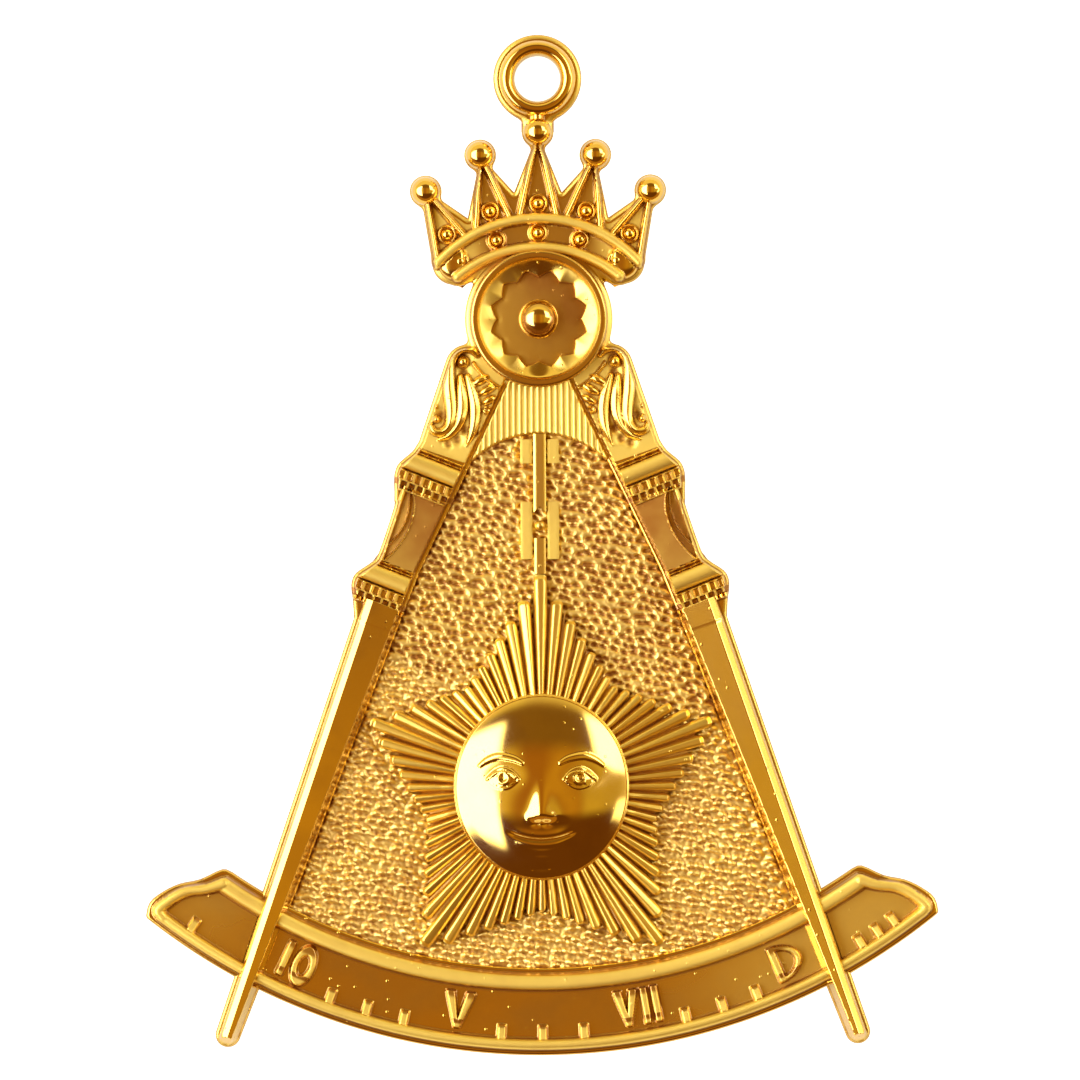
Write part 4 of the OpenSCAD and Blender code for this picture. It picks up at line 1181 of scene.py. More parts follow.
# Level of the pebbled field's upper end, under the collar's arch
FIELD_TOP = -9.6


def between_legs(s, p):
    """How far points lie from the legs' inner edges, in the space between the legs."""
    q = folded(p)
    cos, sin = math.cos(s.leg_angle), math.sin(s.leg_angle)
    u = q[:, 0] * cos + q[:, 1] * sin
    v = q[:, 0] * sin - q[:, 1] * cos
    return leg_inner(s, v) + LEG_TUCK - u


def field_depth(s):
    """Depth inside the pebbled field between legs, collar and quadrant."""

    def depth(p):
        d = between_legs(s, p)
        d = np.minimum(d, s.arc_in_r + 0.35 - np.hypot(p[:, 0], p[:, 1] - s.arc_cy))
        d = np.minimum(d, FIELD_TOP - p[:, 1])
        return np.minimum(d, -disc_depth(p, 0, SUN_Y, s.star_notch_r - 2.2))

    return depth


def scatter(i, j, seed):
    """A repeatable random number from 0 to 1 for each cell of a lattice."""
    n = np.sin(i * 127.1 + j * 311.7 + seed * 74.7) * 43758.5453
    return n - np.floor(n)


def field_height(s):
    """Relief of the pebbled field."""
    pitch = s.pebble_pitch

    def height(p, d):
        x, y = p.T
        # Pits above the star, raised pebbles beside and below it
        line = SUN_Y + 8.5 - 0.15 * x + 0.8 * np.sin(0.9 * x)
        pitted = rise(y, line - 0.4, line + 0.4)
        y = y + 0.22 * x
        row_h = 0.86 * pitch
        near = np.full(len(p), 9.0)
        j0 = np.floor(y / row_h)
        for dj in (-1, 0, 1, 2):
            j = j0 + dj
            shift = 0.5 * (j % 2)
            i0 = np.floor(x / pitch - shift)
            for di in (-1, 0, 1, 2):
                i = i0 + di
                cx = (i + shift + 0.62 * (scatter(i, j, 1) - 0.5)) * pitch
                cy = (j + 0.5 + 0.55 * (scatter(i, j, 2) - 0.5)) * row_h
                lean = 0.8 * (scatter(i, j, 5) - 0.5)
                ox, oy = (x - cx) / pitch, (y - cy) / pitch
                bent = oy + 0.55 * ox * ox - lean * ox
                wide = 0.6 + 0.2 * scatter(i, j, 3)
                tall = 0.31 + 0.08 * scatter(i, j, 4)
                near = np.minimum(near, np.hypot((ox + lean * oy) / wide, bent / tall))
        cell = 1 - rise(near, 0.2, 1.08)
        worm = np.sin(9 * x + 3 * np.sin(5 * y)) * np.sin(8 * y + 2 * x)
        ripple = 0.045 * worm
        level = s.lip_h - 0.12 - 0.2 * (1 - pitted) - 0.25 * (1 - rise(d, 0.1, 0.5))
        return level + ripple + s.pebble_h * cell * (0.85 - 1.8 * pitted)

    return height


def collar_depth(s):
    """Depth inside the fluted collar between head, legs and its arch."""
    arch_r, arch_top = 8.5, -10.2

    def depth(p):
        d = between_legs(s, p)
        d = np.minimum(d, -disc_depth(p, 0, 0, s.boss_r - 0.9))
        d = np.minimum(d, -disc_depth(p, 0, arch_top - arch_r, arch_r))
        return np.minimum(np.minimum(d, p[:, 1] - arch_top + 2.3), -5.0 - p[:, 1])

    return depth


def collar_height(s):
    """Relief of the collar: fine upright flutes."""

    def height(p, d):
        phase = np.abs(((p[:, 0] / s.flute_pitch + 0.5) % 1) - 0.5) * 2
        groove = rise(phase, 0.62, 0.95)
        return s.lip_h + 0.45 - (0.1 * groove + 0.03 * phase) - 0.3 * (1 - rise(d, 0.05, 0.2))

    return height


# Level of the chain's upper end, and distance of its side bars from the middle
CHAIN_TOP = -10.2
CHAIN_SIDE = 1.18


def chain_bars(s):
    """Bars of the chain: middle, width, upper end, length and height of each."""
    whole = CHAIN_TOP - SUN_Y - s.star_top_r
    # The first two rows give the left bars, upper and lower, and the next two the right ones
    rows = []
    for side in (-1, 1):
        rows.append((side * CHAIN_SIDE, 1.02, CHAIN_TOP - 0.4, 0.17 * whole, 0.16))
        rows.append((side * CHAIN_SIDE, 1.02, CHAIN_TOP - 0.48 * whole, 0.41 * whole, 0.16))
    rows.append((0, 1.1, CHAIN_TOP + 0.1, 0.56 * whole, 0.5))
    rows.append((0, 1.0, CHAIN_TOP - 0.74 * whole, 0.255 * whole, 0.42))
    return rows


def star_reach(s, angle):
    """Reach of the star in a direction given in degrees from the right."""
    # Directions of the points and notches on one side, each with its reach
    rows = [
        (-90, s.star_notch_r),
        (-53.8, s.star_low_r),
        (-16, 0.96 * s.star_notch_r),
        (20.5, s.star_side_r),
        (53.5, s.star_notch_r),
        (90, s.star_top_r),
    ]
    f = np.degrees(np.arcsin(np.clip(np.sin(np.radians(angle)), -1, 1)))
    out = np.zeros_like(f)
    for (a, ra), (b, rb) in zip(rows[:-1], rows[1:]):
        here = (f >= a - 1e-6) & (f <= b + 1e-6)
        chord = ra * rb * np.sin(np.radians(b - a)) / (
            ra * np.sin(np.radians(f - a)) + rb * np.sin(np.radians(b - f)) + 1e-9
        )
        out = np.where(here, chord, out)
    return out


# ---- the face of the sun


# Lines of the face's right half: place and half width of the line, as shares of the sun's
# half width and half height
BROW = [(0.22, 0.265, 0.024), (0.32, 0.31, 0.034), (0.48, 0.335, 0.038), (0.61, 0.3, 0.034),
        (0.71, 0.235, 0.02)]
UPPER_LID = [(0.26, 0.09, 0.022), (0.34, 0.165, 0.028), (0.44, 0.195, 0.032),
             (0.54, 0.16, 0.026), (0.62, 0.09, 0.018)]
LOWER_LID = [(0.28, 0.07, 0.015), (0.36, 0.015, 0.02), (0.44, 0.0, 0.022),
             (0.53, 0.02, 0.018), (0.6, 0.07, 0.013)]


def bell(x, y, cx, cy, wx, wy):
    """A soft round swelling, 1 in its middle."""
    return np.exp(-(((x - cx) / wx) ** 2) - ((y - cy) / wy) ** 2)


def face_line(p, rows, h):
    """A raised rounded line of the face."""
    rows = smooth_rows([(x, y, wide, 1) for x, y, wide in rows], 4)
    return h * bulge(path_share(p, rows)[0])


def face_height(x, y, s):
    """Height of the sun's dome and face, at shares of its half width and half height."""
    ax = np.abs(x)
    p = np.column_stack([ax, y])
    rr = np.clip(np.hypot(x, y), 0, 1)
    # The dome is a part of a sphere with this radius, as a share of the sun's half width
    sphere = (1 + (s.dome_h / s.sun_rx) ** 2) / (2 * s.dome_h / s.sun_rx)
    dome = s.sun_rx * (np.sqrt(sphere**2 - rr**2) - np.sqrt(sphere**2 - 1))
    # Brows, sockets, eyeballs and lids
    brow = face_line(p, BROW, 0.13)
    socket = -0.2 * bell(ax, y, 0.44, 0.13, 0.22, 0.12)
    ball = 0.28 * bulge(np.hypot((ax - 0.44) / 0.155, (y - 0.1) / 0.085), 2)
    lid = face_line(p, UPPER_LID, 0.15)
    under = face_line(p, LOWER_LID, 0.1)
    er = np.hypot((ax - 0.435) / 0.06, (y - 0.105) / 0.06 * s.sun_ry / s.sun_rx)
    iris = 0.06 * bulge((er - 1) / 0.28) - 0.08 * (1 - rise(er, 0.25, 0.75))
    # Nose
    bridge_w = 0.06 + 0.05 * rise(-y, -0.15, 0.3)
    along = rise(0.25 - y, 0.0, 0.4) * (1 - rise(-y, 0.28, 0.4))
    lean = np.where(x > 0, 1.7, 1.0)
    nose = (0.1 + 0.28 * rise(-y, -0.1, 0.25)) * np.exp(-((x / bridge_w / lean) ** 2)) * along
    tip = 0.14 * bell(x, y, 0, -0.27, 0.1, 0.08)
    wings = 0.12 * bell(ax, y, 0.12, -0.31, 0.055, 0.05)
    nostrils = -0.12 * bell(ax, y, 0.06, -0.385, 0.05, 0.03)
    # Cheeks, mouth and chin
    cheek = 0.1 * bell(ax, y, 0.5, -0.25, 0.28, 0.24)
    curve = y + 0.566 - 0.62 * x * x
    reach = 1 - rise(ax, 0.3, 0.42)
    line = -0.15 * peak(curve, 0, 0.022) * reach
    upper = 0.05 * peak(curve, 0.05, 0.04) * (1 - rise(ax, 0.15, 0.36))
    lower = 0.1 * peak(curve, -0.06, 0.045) * (1 - rise(ax, 0.14, 0.34))
    chin = 0.07 * bell(x, y, 0, -0.82, 0.2, 0.1) - 0.05 * bell(x, y, 0, -0.71, 0.2, 0.04)
    detail = brow + socket + np.maximum(ball, 0) + lid + under + np.where(ball > 0.05, iris, 0)
    detail += nose + tip + wings + nostrils + cheek + line + upper + lower + chin
    return dome + detail * (1 - rise(rr, 0.86, 0.97))


# ---- operators, one for each piece or group of like pieces


class JEWEL_OT_finishes(bpy.types.Operator):
    """Make the plated finishes that the pieces share"""

    bl_idname = "jewel.finishes"
    bl_label = "Finishes"

    def execute(self, context):
        f = context.scene.jewel_finish
        group = plating_group()
        # Polished and satin tone, roughness of polished and of satin faces, grain, bump in mm
        for name, *values in (
            ("gilt casting", f.plating, f.satin, f.polish, f.satin_roughness, 0.3, 0.012),
            ("pebbled gilt", (1.0, 0.74, 0.2), (1.0, 0.74, 0.17), 0.25, 0.5, 0.3, 0.012),
            ("gilt rays", f.plating, f.satin, 0.2, 0.45, 0.3, 0.012),
            ("mirror gold", f.plating, f.satin, 0.05, 0.4, 0.15, 0.005),
        ):
            gold(name, group, f.deep, *values)
        return {"FINISHED"}


class JEWEL_OT_back_plate(bpy.types.Operator):
    """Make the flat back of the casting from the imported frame"""

    bl_idname = "jewel.back_plate"
    bl_label = "Back plate"

    def execute(self, context):
        source = frame["nodes"]["frame"]
        obj = source.copy()
        obj.data = source.data.copy()
        for collection in source.users_collection:
            collection.objects.link(obj)
        obj.name = obj.data.name = "back_plate"
        edit_points(obj)
        bpy.ops.mesh.remove_doubles(threshold=2 * WELD)
        bpy.ops.mesh.bisect(
            plane_co=(0, 0, BACK_Z * MM), plane_no=(0, 0, 1), use_fill=True, clear_outer=True
        )
        bpy.ops.mesh.select_all(action="SELECT")
        bpy.ops.mesh.dissolve_limited(angle_limit=math.radians(1))
        leave_edit()
        # The plate stays just inside the relief that stands on it
        co = coords(obj)
        normals = np.array([v.normal[:] for v in obj.data.vertices])
        flat = normals[:, :2] / np.maximum(np.hypot(*normals[:, :2].T), 0.2)[:, None]
        co[:, :2] -= PLATE_INSET * MM * flat
        set_coords(obj, co)
        finish_casting(obj, angle=30)
        return {"FINISHED"}


class JEWEL_OT_suspension_ring(bpy.types.Operator):
    """Make the rounded bead of the suspension ring"""

    bl_idname = "jewel.suspension_ring"
    bl_label = "Suspension ring"

    def execute(self, context):
        s = sizes()
        half = s.bead_w / 2
        mid = HOLE_R + half
        # The bead starts a little below the lip's top
        sink = 0.15
        profile = [(mid + half, FOOT_Z)]
        for a in np.linspace(0, math.pi, 21):
            out = np.sign(math.cos(a)) * abs(math.cos(a)) ** 0.9
            up = (s.bead_h + sink) * math.sin(a) ** 0.8
            profile.append((mid + half * out, s.lip_h - sink + up))
        profile += [(HOLE_R, 0.25), (HOLE_R + 0.12, FOOT_Z)]
        obj = spun("suspension_ring", profile, RING_Y, 160, closed=True)
        finish_casting(obj, "mirror gold", 40)
        return {"FINISHED"}


class JEWEL_OT_crown(bpy.types.Operator):
    """Make the crown's relief with its rails, ridges and the lip of the ring"""

    bl_idname = "jewel.crown"
    bl_label = "Crown"

    def execute(self, context):
        s = sizes()
        step = 0.078
        half = s.crown_half + 1.6
        u = np.linspace(-half, half, int(2 * half / step))
        v = np.arange(2.4, RING_Y + s.ring_r + 0.15, step)

        def masks(p, d, z):
            up = z - s.lip_h
            low = (1 - rise(up, 0.1, 0.3)) * rise(d, 0.45, 0.65)
            top = np.hypot(p[:, 0], p[:, 1] - s.top_cy) - s.band_top_r
            low_rail = np.hypot(p[:, 0], p[:, 1] - s.low_cy) - s.band_low_r
            rails = rise(up, 0.6, 0.9) * (np.minimum(np.abs(top), np.abs(low_rail)) < 0.6)
            # Recesses turn satin towards the sides and carry brown painted shade in the middle
            outer = rise(np.abs(p[:, 0]), 4.0, 6.5)
            return {
                "satin": (0.2 + 0.8 * outer) * low + 0.95 * rails + lip_share(d),
                "painted_shade": (0.45 - 0.45 * outer) * low,
            }

        obj = relief("crown", u, v, crown_depth(s), crown_height(s), masks, holes=True)
        finish_casting(obj)
        return {"FINISHED"}


class JEWEL_OT_crown_balls(bpy.types.Operator):
    """Make the balls of the crown's points and the beads of its band"""

    bl_idname = "jewel.crown_balls"
    bl_label = "Crown balls"

    def execute(self, context):
        s = sizes()
        clear_selection()
        bpy.ops.mesh.primitive_uv_sphere_add(segments=40, ring_count=24, radius=1)
        ball = context.active_object
        edit(ball)
        # The ball's foot is cut flat and drawn out into a short collar
        bpy.ops.mesh.select_all(action="SELECT")
        bpy.ops.mesh.bisect(plane_co=(0, 0, -0.55), plane_no=(0, 0, -1), clear_outer=True)
        bpy.ops.mesh.select_all(action="DESELECT")
        bpy.ops.mesh.select_mode(type="EDGE")
        bpy.ops.mesh.select_non_manifold()
        bpy.ops.mesh.extrude_region_move(TRANSFORM_OT_translate={"value": (0, 0, -0.4)})
        bpy.ops.mesh.edge_face_add()
        leave_edit()
        balls = [(*crown_share(s, x, y), 1.1 * s.crown_ball_r, 0.42) for x, y, _, _ in CROWN_POINTS]
        balls += [(x, y, s.crown_bead_r, 0.3) for x, y in crown_beads(s)]
        pieces = []
        for x, y, r, up in balls:
            for side in (-1, 1) if x > 0.01 else (1,):
                at = place([side * x], [y], [s.lip_h + up])[0]
                name = f"ball_{len(pieces)}"
                pieces.append(copy_of(ball, name, lambda co, r=r, at=at: co * r * MM + at))
        bpy.data.objects.remove(ball)
        obj = joined("crown_balls", pieces)
        finish_casting(obj, "mirror gold", 60)
        return {"FINISHED"}


# Broad flat ridge of the head with rounded edges: radius, and drop from the rim's top
HEAD_RIDGE = [(5.95, 0.1), (5.86, 0.03), (5.74, 0), (5.48, 0), (5.38, 0.03), (5.32, 0.12)]
# Radius of the bowl inside that ridge
BOWL_R = 5.3


class JEWEL_OT_compass_head(bpy.types.Operator):
    """Make the round head: flange, rim, bowl, toothed edge and satin floor"""

    bl_idname = "jewel.compass_head"
    bl_label = "Compass head"

    def execute(self, context):
        s = sizes()
        top = s.lip_h + s.boss_rim_h
        floor = s.lip_h + 0.3
        profile = [(s.boss_r, FOOT_Z), (s.boss_r, s.lip_h - 0.12)]
        profile += [
            (s.boss_r - 0.3 + 0.3 * math.cos(a), s.lip_h - 0.12 + 0.3 * math.sin(a))
            for a in np.linspace(0.3, 1.3, 5)
        ]
        profile += [(6.1, s.lip_h + 0.3), (6.04, s.lip_h + 0.5), (6.02, top - 0.24)]
        profile += [(r, top - drop) for r, drop in HEAD_RIDGE]
        for t in np.linspace(0, 1, 16):
            profile.append((BOWL_R - (BOWL_R - s.tooth_r) * t, top - 0.2 - 0.66 * t**0.75))
        profile += [(s.tooth_r - 0.05, top - 0.95), (s.tooth_r - 0.1, floor + 0.12)]
        profile += [(s.tooth_r - 0.14, floor)]
        profile += [(r, floor + 0.2 * (1 - (r / 4.3) ** 2)) for r in (3.4, 3.0, 2.6, 2.2, 1.9, 1.0)]
        profile += [(1.0, FOOT_Z)]
        obj = spun("compass_head", profile, 0, 16 * s.tooth_count, closed=True)
        # The bowl's lower edge is drawn in and out into pleated teeth
        co = coords(obj)
        x, y, z = co[:, 0] / MM, co[:, 1] / MM - PIVOT_Y, co[:, 2] / MM
        r = np.hypot(x, y)
        angle = np.arctan2(y, x)
        tooth = np.abs(((angle * s.tooth_count / (2 * math.pi)) % 1) - 0.5) * 2
        inward = np.interp(r, [3.4, s.tooth_r - 0.14, s.tooth_r, 5.1], [0.0, 1, 1, 0])
        inward = np.where((z > FOOT_Z + 0.01) & (r > 3.5), inward, 0)
        new_r = r - s.tooth_depth * tooth * inward
        co[:, 0] = x / r * new_r * MM
        co[:, 1] = (y / r * new_r + PIVOT_Y) * MM
        set_coords(obj, co)
        inner = (r < s.tooth_r - 0.08) & (z < floor + 0.2)
        wall = (r < BOWL_R) & (r > s.tooth_r - 0.1)
        flange = r > 6.05
        rest = np.where(inner, 0.3, np.where(flange, 0.6, 0.05))
        paint(obj, "satin", np.where(wall, 0.8 * np.abs(x) / r, rest))
        # Painted shade: dark lines at the ridge's outer foot and round the floor, the floor darker towards
        # the upper right, and the ridge's top a little darker
        foot = peak(r, 6.03, 0.1)
        foot += peak(r - s.tooth_r, -0.12, 0.1) * (z < floor + 0.15)
        shade = 0.62 + 0.25 * np.clip((x + y) / 4, -1, 1)
        shade = np.where(inner, shade, np.where((r > 5.36) & (r < 5.9), 0.35, 0))
        paint(obj, "painted_shade", np.maximum(0.6 * foot, shade))
        finish_casting(obj, angle=35)
        return {"FINISHED"}


class JEWEL_OT_pivot_ball(bpy.types.Operator):
    """Make the polished ball in its seat ring"""

    bl_idname = "jewel.pivot_ball"
    bl_label = "Pivot ball"

    def execute(self, context):
        s = sizes()
        low = s.lip_h + 0.35
        centre = low + 0.905
        profile = [(0.0, low), (s.seat_r, low), (s.seat_r, low + 0.12)]
        profile += [
            (s.seat_r - 0.15 + 0.15 * math.cos(a), low + 0.14 + 0.24 * math.sin(a))
            for a in np.linspace(0.15, math.pi - 0.4, 8)
        ]
        # The ball shows a cap, down to a steep side
        cap_top = centre + 0.95
        side = math.radians(52)
        ball = s.ball_r / math.sin(side)
        profile += [(s.ball_r, low + 0.1)]
        profile += [
            (ball * math.sin(a), cap_top - ball * (1 - math.cos(a)))
            for a in np.linspace(side, 0, 24)
        ]
        obj = spun("pivot_boss", profile, 0, 64)
        co = coords(obj)
        x, y = co[:, 0] / MM, co[:, 1] / MM - PIVOT_Y
        r = np.hypot(x, y)
        # Painted shade on the ball's steep side, darker below, stands in for the bowl seen in it
        steep = rise(r, 0.95, 1.15) * (1 - rise(r, s.ball_r - 0.02, s.ball_r + 0.03))
        paint(obj, "painted_shade", steep * (0.95 - 0.5 * rise(y, 0.0, 1.2)))
        finish_piece(obj, ("pivot_ball",), "mirror gold", 45)
        return {"FINISHED"}


# Stretches of the leg's grid: start, end and step; fine at shoulder and capitals
LEG_STEPS = (
    (2.9, 13.9, 0.068),
    (13.9, 18.8, 0.055),
    (18.8, 24.3, 0.11),
    (24.3, 29.4, 0.055),
    (29.4, 30.2, 0.1),
    (30.2, 67.2, 0.28),
)


class JEWEL_OT_legs(bpy.types.Operator):
    """Make the legs with shoulders, capitals and columns: one leg and its mirrored copy"""

    bl_idname = "jewel.legs"
    bl_label = "Legs"

    def execute(self, context):
        s = sizes()
        cos, sin = math.cos(s.leg_angle), math.sin(s.leg_angle)
        u = np.arange(0.0, 8.7, 0.062)
        stretches = (*LEG_STEPS, (67.2, s.leg_len + 0.12, 0.075))
        v = np.concatenate([np.arange(*stretch) for stretch in stretches])

        def to_xy(a, b):
            return a * cos + b * sin, a * sin - b * cos

        right = relief("leg_right", u, v, leg_depth(s), leg_height(s), leg_masks(s), to_xy)
        left = copy_of(right, "leg_left", lambda co: co * [-1, 1, 1])
        for obj in (right, left):
            finish_casting(obj, angle=55)
        return {"FINISHED"}


class JEWEL_OT_quadrant(bpy.types.Operator):
    """Make the quadrant with its rails, marks and numerals"""

    bl_idname = "jewel.quadrant"
    bl_label = "Quadrant"

    def execute(self, context):
        s = sizes()
        depth, mid = quadrant_depth(s)
        reach = 1.01 * s.arc_half_angle * mid
        u = np.linspace(-reach, reach, 900)
        v = np.linspace(s.arc_in_r - 0.1, s.arc_r + 0.1, 96)

        def to_xy(a, r):
            return r * np.sin(a / mid), s.arc_cy - r * np.cos(a / mid)

        def masks(p, d, z):
            x, r = p.T
            up = z - s.lip_h
            band_r = s.arc_in_r + s.lip_w + s.inner_rail_w
            band = (1 - rise(up, 0.05, 0.25)) * rise(d, 0.6, 0.9)
            rail = rise(up, 0.72, 0.85)
            mark = rise(up, 0.4, 0.5) * (1 - rail)
            golden = 0.1 + 0.5 * rise(x, 4, 26) + 0.25 * rise(-x, 20, 32)
            # Painted shade darkens marks and numerals towards the middle of the arc
            root = (r > band_r + 2.9) * rise(band_r + 3.4 - r, 0, 0.2)
            mark_shade = mark * np.maximum(root, 0.8 * rise(band_r + 1.2 - r, 0, 0.4))
            # Painted shade: a dark line along the inner rail, and faint patches along the band
            under = peak(r - s.arc_in_r - s.lip_w - s.inner_rail_w, 0.06, 0.1)
            shaded = (0.16 + 0.14 * np.sin(0.31 * x + 1.2 * np.sin(0.23 * x + r))) * band
            painted_shade = np.maximum(np.maximum(shaded, 0.8 * mark_shade), 0.9 * under * (up < 0.85))
            satin = golden * band + 0.95 * rail + 0.9 * mark * (1 - mark_shade)
            return {"satin": satin, "painted_shade": painted_shade}

        obj = relief("quadrant", u, v, depth, quadrant_height(s, mid), masks, to_xy)
        finish_casting(obj)
        return {"FINISHED"}


class JEWEL_OT_pebbled_field(bpy.types.Operator):
    """Make the pebbled field behind the star"""

    bl_idname = "jewel.pebbled_field"
    bl_label = "Pebbled field"

    def execute(self, context):
        s = sizes()
        step = 0.112
        u = np.arange(-23.4, 23.5, step)
        v = np.arange(s.arc_cy - s.arc_in_r - 0.5, FIELD_TOP + 0.1, step)

        def masks(p, d, z):
            # Painted shade in the low places of pits and pebbles, a little weaker lower down
            lower = 1 - rise(p[:, 1] + 0.15 * p[:, 0], SUN_Y + 7.5, SUN_Y + 9.5)
            low = (0.88 - 0.16 * lower) * rise(s.lip_h - 0.22 - 0.06 * lower - z, 0.0, 0.18)
            # Painted shadows below the ends of the chain's lower side bars
            foot = chain_bars(s)[1][2] - chain_bars(s)[1][3]
            for side, wide in ((-1, 0.5), (1, 0.6)):
                patch = bell(p[:, 0], p[:, 1], side * CHAIN_SIDE, foot - 0.2, wide, 0.24)
                low = np.maximum(low, 0.95 * patch)
            return {"satin": np.full(len(p), 0.75), "painted_shade": low}

        obj = relief("pebbled_field", u, v, field_depth(s), field_height(s), masks, holes=True)
        finish_casting(obj, "pebbled gilt")
        return {"FINISHED"}


class JEWEL_OT_fluted_collar(bpy.types.Operator):
    """Make the fluted collar under the head"""

    bl_idname = "jewel.fluted_collar"
    bl_label = "Fluted collar"

    def execute(self, context):
        s = sizes()
        u = np.arange(-6.3, 6.31, s.flute_pitch / 9)
        v = np.arange(-12.6, -4.9, 0.12)

        def masks(p, d, z):
            # Painted shade on the low places: the grooves between the flutes and the edge
            painted_shade = 0.6 * rise(s.lip_h + 0.36 - z, 0.0, 0.1)
            return {"satin": np.full(len(p), 0.75), "painted_shade": painted_shade}

        obj = relief("fluted_collar", u, v, collar_depth(s), collar_height(s), masks)
        finish_casting(obj, "gilt rays", 70)
        return {"FINISHED"}


class JEWEL_OT_chain(bpy.types.Operator):
    """Make the flat bars and the ball of the short chain"""

    bl_idname = "jewel.chain"
    bl_label = "Chain"

    def execute(self, context):
        s = sizes()
        clear_selection()
        bpy.ops.mesh.primitive_cube_add(size=1)
        bar = context.active_object
        edit(bar)
        bpy.ops.mesh.select_all(action="SELECT")
        bpy.ops.mesh.subdivide(number_cuts=3)
        bpy.ops.mesh.bevel(offset=0.02, segments=2, affect="EDGES")
        leave_edit()
        pieces = []
        for k, (x, w, top, long, h) in enumerate(chain_bars(s)):
            def move(co, x=x, w=w, top=top, long=long, h=h):
                px = x + co[:, 0] * w
                py = top - long / 2 + co[:, 1] * long
                # Notched lower end, bevelled long edges
                low = co[:, 1] < -0.4
                if x == 0 and long > 5:
                    py = np.where(low, py + 0.5 - 1.1 * np.abs(co[:, 0]), py)
                edge = 1.0 if x == 0 else 0.25
                crest = s.lip_h + h - edge * np.clip(np.abs(co[:, 0]) - 0.4, 0, 1)
                pz = np.where(co[:, 2] > 0.2, crest, FOOT_Z + 0.2 + (co[:, 2] + 0.5) * 0.6)
                return place(px, py, pz)

            pieces.append(copy_of(bar, f"bar_{k}", move))
        bpy.data.objects.remove(bar)
        clear_selection()
        bpy.ops.mesh.primitive_uv_sphere_add(segments=24, ring_count=16, radius=1)
        ball = context.active_object
        middle = CHAIN_TOP - 0.65 * (CHAIN_TOP - SUN_Y - s.star_top_r)
        at = place([0], [middle], [s.lip_h + 0.25])[0]
        set_coords(ball, coords(ball) * [0.48 * MM, 0.48 * MM, 0.52 * MM] + at)
        obj = joined("chain", pieces + [ball])
        off = np.abs(coords(obj)[:, 0] / MM)
        paint(obj, "satin", np.where(off > 0.62, 1.0, 0.35))
        # Painted shade on the middle bars and the ball
        paint(obj, "painted_shade", np.where(off > 0.62, 0.0, 0.3 * (off < 0.5)))
        finish_casting(obj, angle=30)
        return {"FINISHED"}


# Heights of a ray's crest above its seat, at the sun and at its end
RAY_ROOT_H = 1.42
RAY_END_H = 0.85
# Thickness of the star's plate under the sun
STAR_PLATE_H = 0.8


class JEWEL_OT_star(bpy.types.Operator):
    """Make the star of rounded rays with blunt ends"""

    bl_idname = "jewel.star"
    bl_label = "Star"

    def execute(self, context):
        s = sizes()
        per_ray = 12
        columns = s.ray_count * per_ray
        shares = np.concatenate([np.linspace(0, 0.9, 34), np.linspace(0.92, 1, 10)])
        obj = grid("star", columns, len(shares) - 1)
        col, row = np.meshgrid(np.arange(columns + 1), np.arange(len(shares)))
        col, row = col.ravel(), row.ravel()
        a = np.radians(90 - (col / per_ray - 0.5) * 360 / s.ray_count)
        ray = np.floor(col / per_ray - 1e-6) % s.ray_count
        centre = 90 - ray * 360 / s.ray_count
        # Place across the ray, from -1 to 1
        f = (col % per_ray) / per_ray * 2 - 1
        # Rays end bluntly, and the valleys between them reach less far
        near = star_reach(s, centre)
        other = star_reach(s, centre - np.sign(f) * 360 / s.ray_count)
        blunt_end = near - 0.9 * np.clip(np.abs(f) - 0.2, 0, 1) ** 2
        reach = np.where(np.abs(f) > 0.8, np.minimum(near, other) - 0.45, blunt_end)
        out = shares[row]
        # Rays start on an ellipse just inside the sun's edge
        seat_rx, seat_ry = s.sun_rx - SUN_TUCK, s.sun_ry - SUN_TUCK
        seat = 1 / np.hypot(np.cos(a) / seat_rx, np.sin(a) / seat_ry)
        r = seat + (reach - seat) * out
        low = s.lip_h + SEAT_GAP
        crest = low + RAY_ROOT_H + (RAY_END_H - RAY_ROOT_H) * out**1.1
        section = 1 - rise(np.abs(f), 0.34, 1.0)
        slope = (0.12 + 0.44 * (scatter(ray, 0, 5) - 0.5)) * f * (1 - np.abs(f))
        lift = 0.2 * (scatter(ray, 0, 3) - 0.5) * rise(out, 0.05, 0.4)
        z = crest + lift - 0.4 * (1 - section) - 0.09 * f**2 + slope
        z = z - rise(out, 0.955, 1.0) * 0.3 * section
        set_coords(obj, place(r * np.cos(a), SUN_Y + r * np.sin(a), z))
        paint(obj, "satin", np.full(len(z), 0.5))
        # Painted shade in the grooves between the rays, starting just past their roots
        paint(obj, "painted_shade", 0.8 * rise(1 - section, 0.4, 0.95) * rise(out, 0.02, 0.1))
        weld_round(obj, low, holes=True)
        finish_piece(obj, ("star_rays",), "gilt rays", 55)
        return {"FINISHED"}


